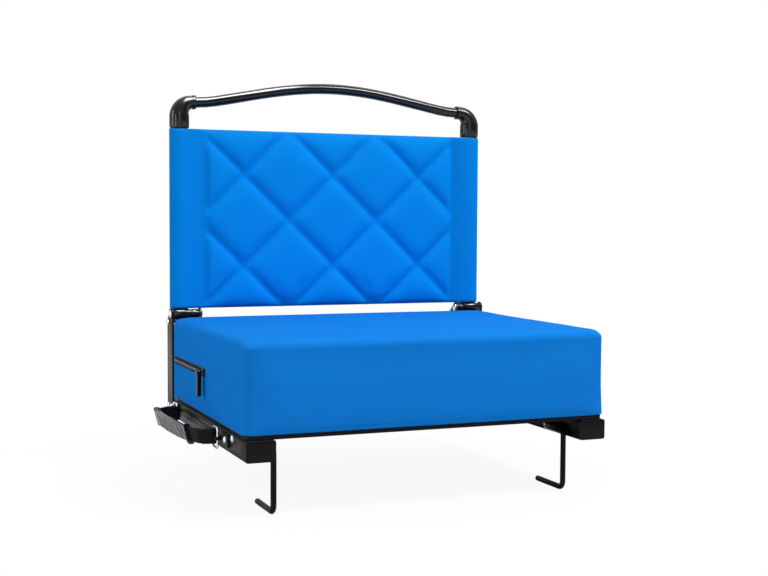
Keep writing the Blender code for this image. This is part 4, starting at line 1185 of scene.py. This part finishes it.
def make_grip():
    """A moulded grip with slanted ribs on its outer face, flared ends and a hole for the webbing."""
    start = HANDLE_Y - GRIP_LENGTH / 2
    ys = [start + GRIP_LENGTH * i / GRIP_STEPS for i in range(GRIP_STEPS + 1)]
    path = [handle_point(y) for y in ys]
    normals = level_normals(path)
    tall = (grip_high.z - grip_low.z) / 2
    loops = []
    for i, (point, normal) in enumerate(zip(path, normals)):
        share = i / GRIP_STEPS
        end = min(share, 1 - share)
        flare = max(0.0, 1 - end / FLARE_SHARE) ** FLARE_POWER
        lens = math.sin(math.pi * share) ** LENS_POWER
        half_height = tall * (GRIP_HEIGHT + GRIP_LENS_HEIGHT * lens) + FLARE_HEIGHT * flare
        outside = GRIP_OUTSIDE + GRIP_LENS_OUTSIDE * lens + FLARE_OUTSIDE * flare
        inside = GRIP_INSIDE + GRIP_LENS_INSIDE * lens
        ring = grip_ring(half_height, outside, inside, GRIP_EDGE_R, lambda b: crease_depth(share, b))
        loops.append([leaning(point, normal, a, b) for a, b in ring])
    half = WEB_WIDTH / 2 + HOLE_CLEAR
    thick = WEB_THICK / 2 + HOLE_CLEAR
    hole = grip_ring(half, thick, thick, HOLE_EDGE_R, lambda b: 0.0)
    inner = []
    for point, normal in zip(path[::HOLE_STEP], normals[::HOLE_STEP]):
        inner.append([leaning(point, normal, a, b) for a, b in hole])
    verts, faces = loft_arrays(loops + inner[::-1], closed=True)
    mesh = mesh_from("handle_grip_moulded", verts, faces, smooth_angle=42.0)
    new_piece(mesh, grip_rubber, "handle", "grip_rubber", "handle_grip")


# Stage

WHITE = (1.0, 1.0, 1.0, 1.0)
FLOOR_WHITE = (0.93, 0.93, 0.93, 1.0)
FLOOR_GREY = (0.34, 0.34, 0.34, 1.0)
FLOOR_DROP = 0.0005
FLOOR_Z = min(cad_box[0].z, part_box("hook_left")[0].z) - FLOOR_DROP
FLOOR_SIZE = 12.0
CAMERA_FADE = {"From Min": 0.20, "From Max": 0.60, "To Min": 0.92}
MIRROR_FADE = {"From Min": 0.20, "From Max": 1.20, "To Min": 0.0}
ROOM_LIGHT = 0.30
BACKDROP_SIDE = (0.0, 0.3, 0.95)
BACKDROP_FADE = {"From Min": -0.1, "From Max": 0.95, "To Min": 0.12}


def add_fade(tree, value, limits):
    """A value's rise to 1 between two limits."""
    fade = add_node(tree, "ShaderNodeMapRange", limits)
    tree.links.new(value, fade.inputs["Value"])
    return fade.outputs["Result"]


def mix_shaders(tree, factor, first, second):
    mix = tree.nodes.new("ShaderNodeMixShader")
    for output, socket in zip((factor, first, second), mix.inputs):
        tree.links.new(output, socket)
    return mix.outputs[0]


def floor_material():
    """White paint that turns to a plain white glow further out, and is darker to bounced light."""
    material = bpy.data.materials.new("floor_white")
    material.use_nodes = True
    tree = material.node_tree
    tree.nodes.clear()
    out = tree.nodes.new("ShaderNodeOutputMaterial")
    paint = add_node(tree, "ShaderNodeBsdfDiffuse", {"Color": FLOOR_WHITE})
    bounce = add_node(tree, "ShaderNodeBsdfDiffuse", {"Color": FLOOR_GREY})
    glow = add_node(tree, "ShaderNodeEmission", {"Strength": 1.0})
    place = add_node(tree, "ShaderNodeTexCoord")
    reach = add_node(tree, "ShaderNodeVectorMath", operation="LENGTH")
    tree.links.new(place.outputs["Object"], reach.inputs[0])
    fades = [add_fade(tree, reach.outputs["Value"], limits) for limits in (CAMERA_FADE, MIRROR_FADE)]
    rays = tree.nodes.new("ShaderNodeLightPath")
    fade = tree.nodes.new("ShaderNodeMix")
    tree.links.new(rays.outputs["Is Glossy Ray"], fade.inputs[0])
    tree.links.new(fades[0], fade.inputs[2])
    tree.links.new(fades[1], fade.inputs[3])
    seen = mix_shaders(tree, fade.outputs[0], paint.outputs[0], glow.outputs[0])
    both = bounce.outputs[0]
    for name in ("Is Camera Ray", "Is Glossy Ray", "Is Transmission Ray"):
        both = mix_shaders(tree, rays.outputs[name], both, seen)
    tree.links.new(both, out.inputs["Surface"])
    return material


def make_floor():
    """A white floor that keeps a faint shadow."""
    signs = ((-1, -1), (1, -1), (1, 1), (-1, 1))
    corners = [(x * FLOOR_SIZE, y * FLOOR_SIZE, FLOOR_Z) for x, y in signs]
    floor = bpy.data.objects.new("floor", mesh_from("floor", corners, [(0, 1, 2, 3)]))
    scene.collection.objects.link(floor)
    floor.data.materials.append(floor_material())


def make_world():
    """White to the camera, a white backdrop behind and above to mirrored rays, and dim room light."""
    world = bpy.data.worlds.new("world")
    scene.world = world
    world.use_nodes = True
    tree = world.node_tree
    tree.nodes.clear()
    out = tree.nodes.new("ShaderNodeOutputWorld")
    room = add_node(tree, "ShaderNodeBackground", {"Color": WHITE, "Strength": ROOM_LIGHT})
    white = add_node(tree, "ShaderNodeBackground", {"Color": WHITE})
    drop = add_node(tree, "ShaderNodeBackground", {"Color": WHITE})
    place = add_node(tree, "ShaderNodeTexCoord")
    lean = add_node(tree, "ShaderNodeVectorMath", operation="DOT_PRODUCT")
    lean.inputs[1].default_value = BACKDROP_SIDE
    tree.links.new(place.outputs["Generated"], lean.inputs[0])
    tree.links.new(add_fade(tree, lean.outputs["Value"], BACKDROP_FADE), drop.inputs["Strength"])
    rays = tree.nodes.new("ShaderNodeLightPath")
    seen = room.outputs[0]
    for name, shader in (("Is Transmission Ray", drop), ("Is Glossy Ray", drop), ("Is Camera Ray", white)):
        seen = mix_shaders(tree, rays.outputs[name], seen, shader.outputs[0])
    tree.links.new(seen, out.inputs["Surface"])


def make_lamp(name, place, target, size, power, gloss_only=False):
    data = bpy.data.lights.new(name, "AREA")
    data.shape = "RECTANGLE"
    data.size, data.size_y = size
    data.energy = power
    lamp = bpy.data.objects.new(name, data)
    lamp.location = place
    lamp.visible_diffuse = not gloss_only
    lamp.rotation_mode = "QUATERNION"
    lamp.rotation_quaternion = (Vector(target) - Vector(place)).to_track_quat("-Z", "Y")
    scene.collection.objects.link(lamp)


def make_lights():
    make_lamp("key", place=(1.05, -1.15, 1.95), target=(0.0, 0.0, 0.2), size=(0.9, 0.6), power=42.5)
    make_lamp("top", place=(-0.15, -0.35, 1.9), target=(0.0, 0.1, 0.3), size=(1.2, 0.25), power=2.2)
    make_lamp(
        "strip", place=(0.05, -0.45, 1.85), target=(-0.05, 0.18, 0.41), size=(0.55, 1.0), power=60.0,
        gloss_only=True,
    )
    make_lamp("left_side", place=(-1.7, 0.35, 0.6), target=(0.0, 0.0, 0.1), size=(0.7, 1.0), power=7.2)
    make_lamp("front_fill", place=(-0.6, -2.4, 0.9), target=(0.0, 0.0, 0.2), size=(1.4, 1.4), power=7.0)
    make_lamp("rim", place=(0.2, 0.7, 1.55), target=(0.0, 0.18, 0.4), size=(1.7, 0.07), power=3.0)
    make_lamp("left_edge", place=(-1.3, -0.55, 0.35), target=(-0.2, 0.0, 0.05), size=(0.08, 0.7), power=2.4)


make_camera()
make_floor()
make_world()
make_lights()
make_hard_pieces()
back_pad = make_back_pad()
make_back_stitches(back_pad)
make_cushion()
make_tape()
make_teeth()
make_zip_stitches()
make_slider()
make_pull()
make_strap()
make_grip()

scene.view_settings.view_transform = "Standard"
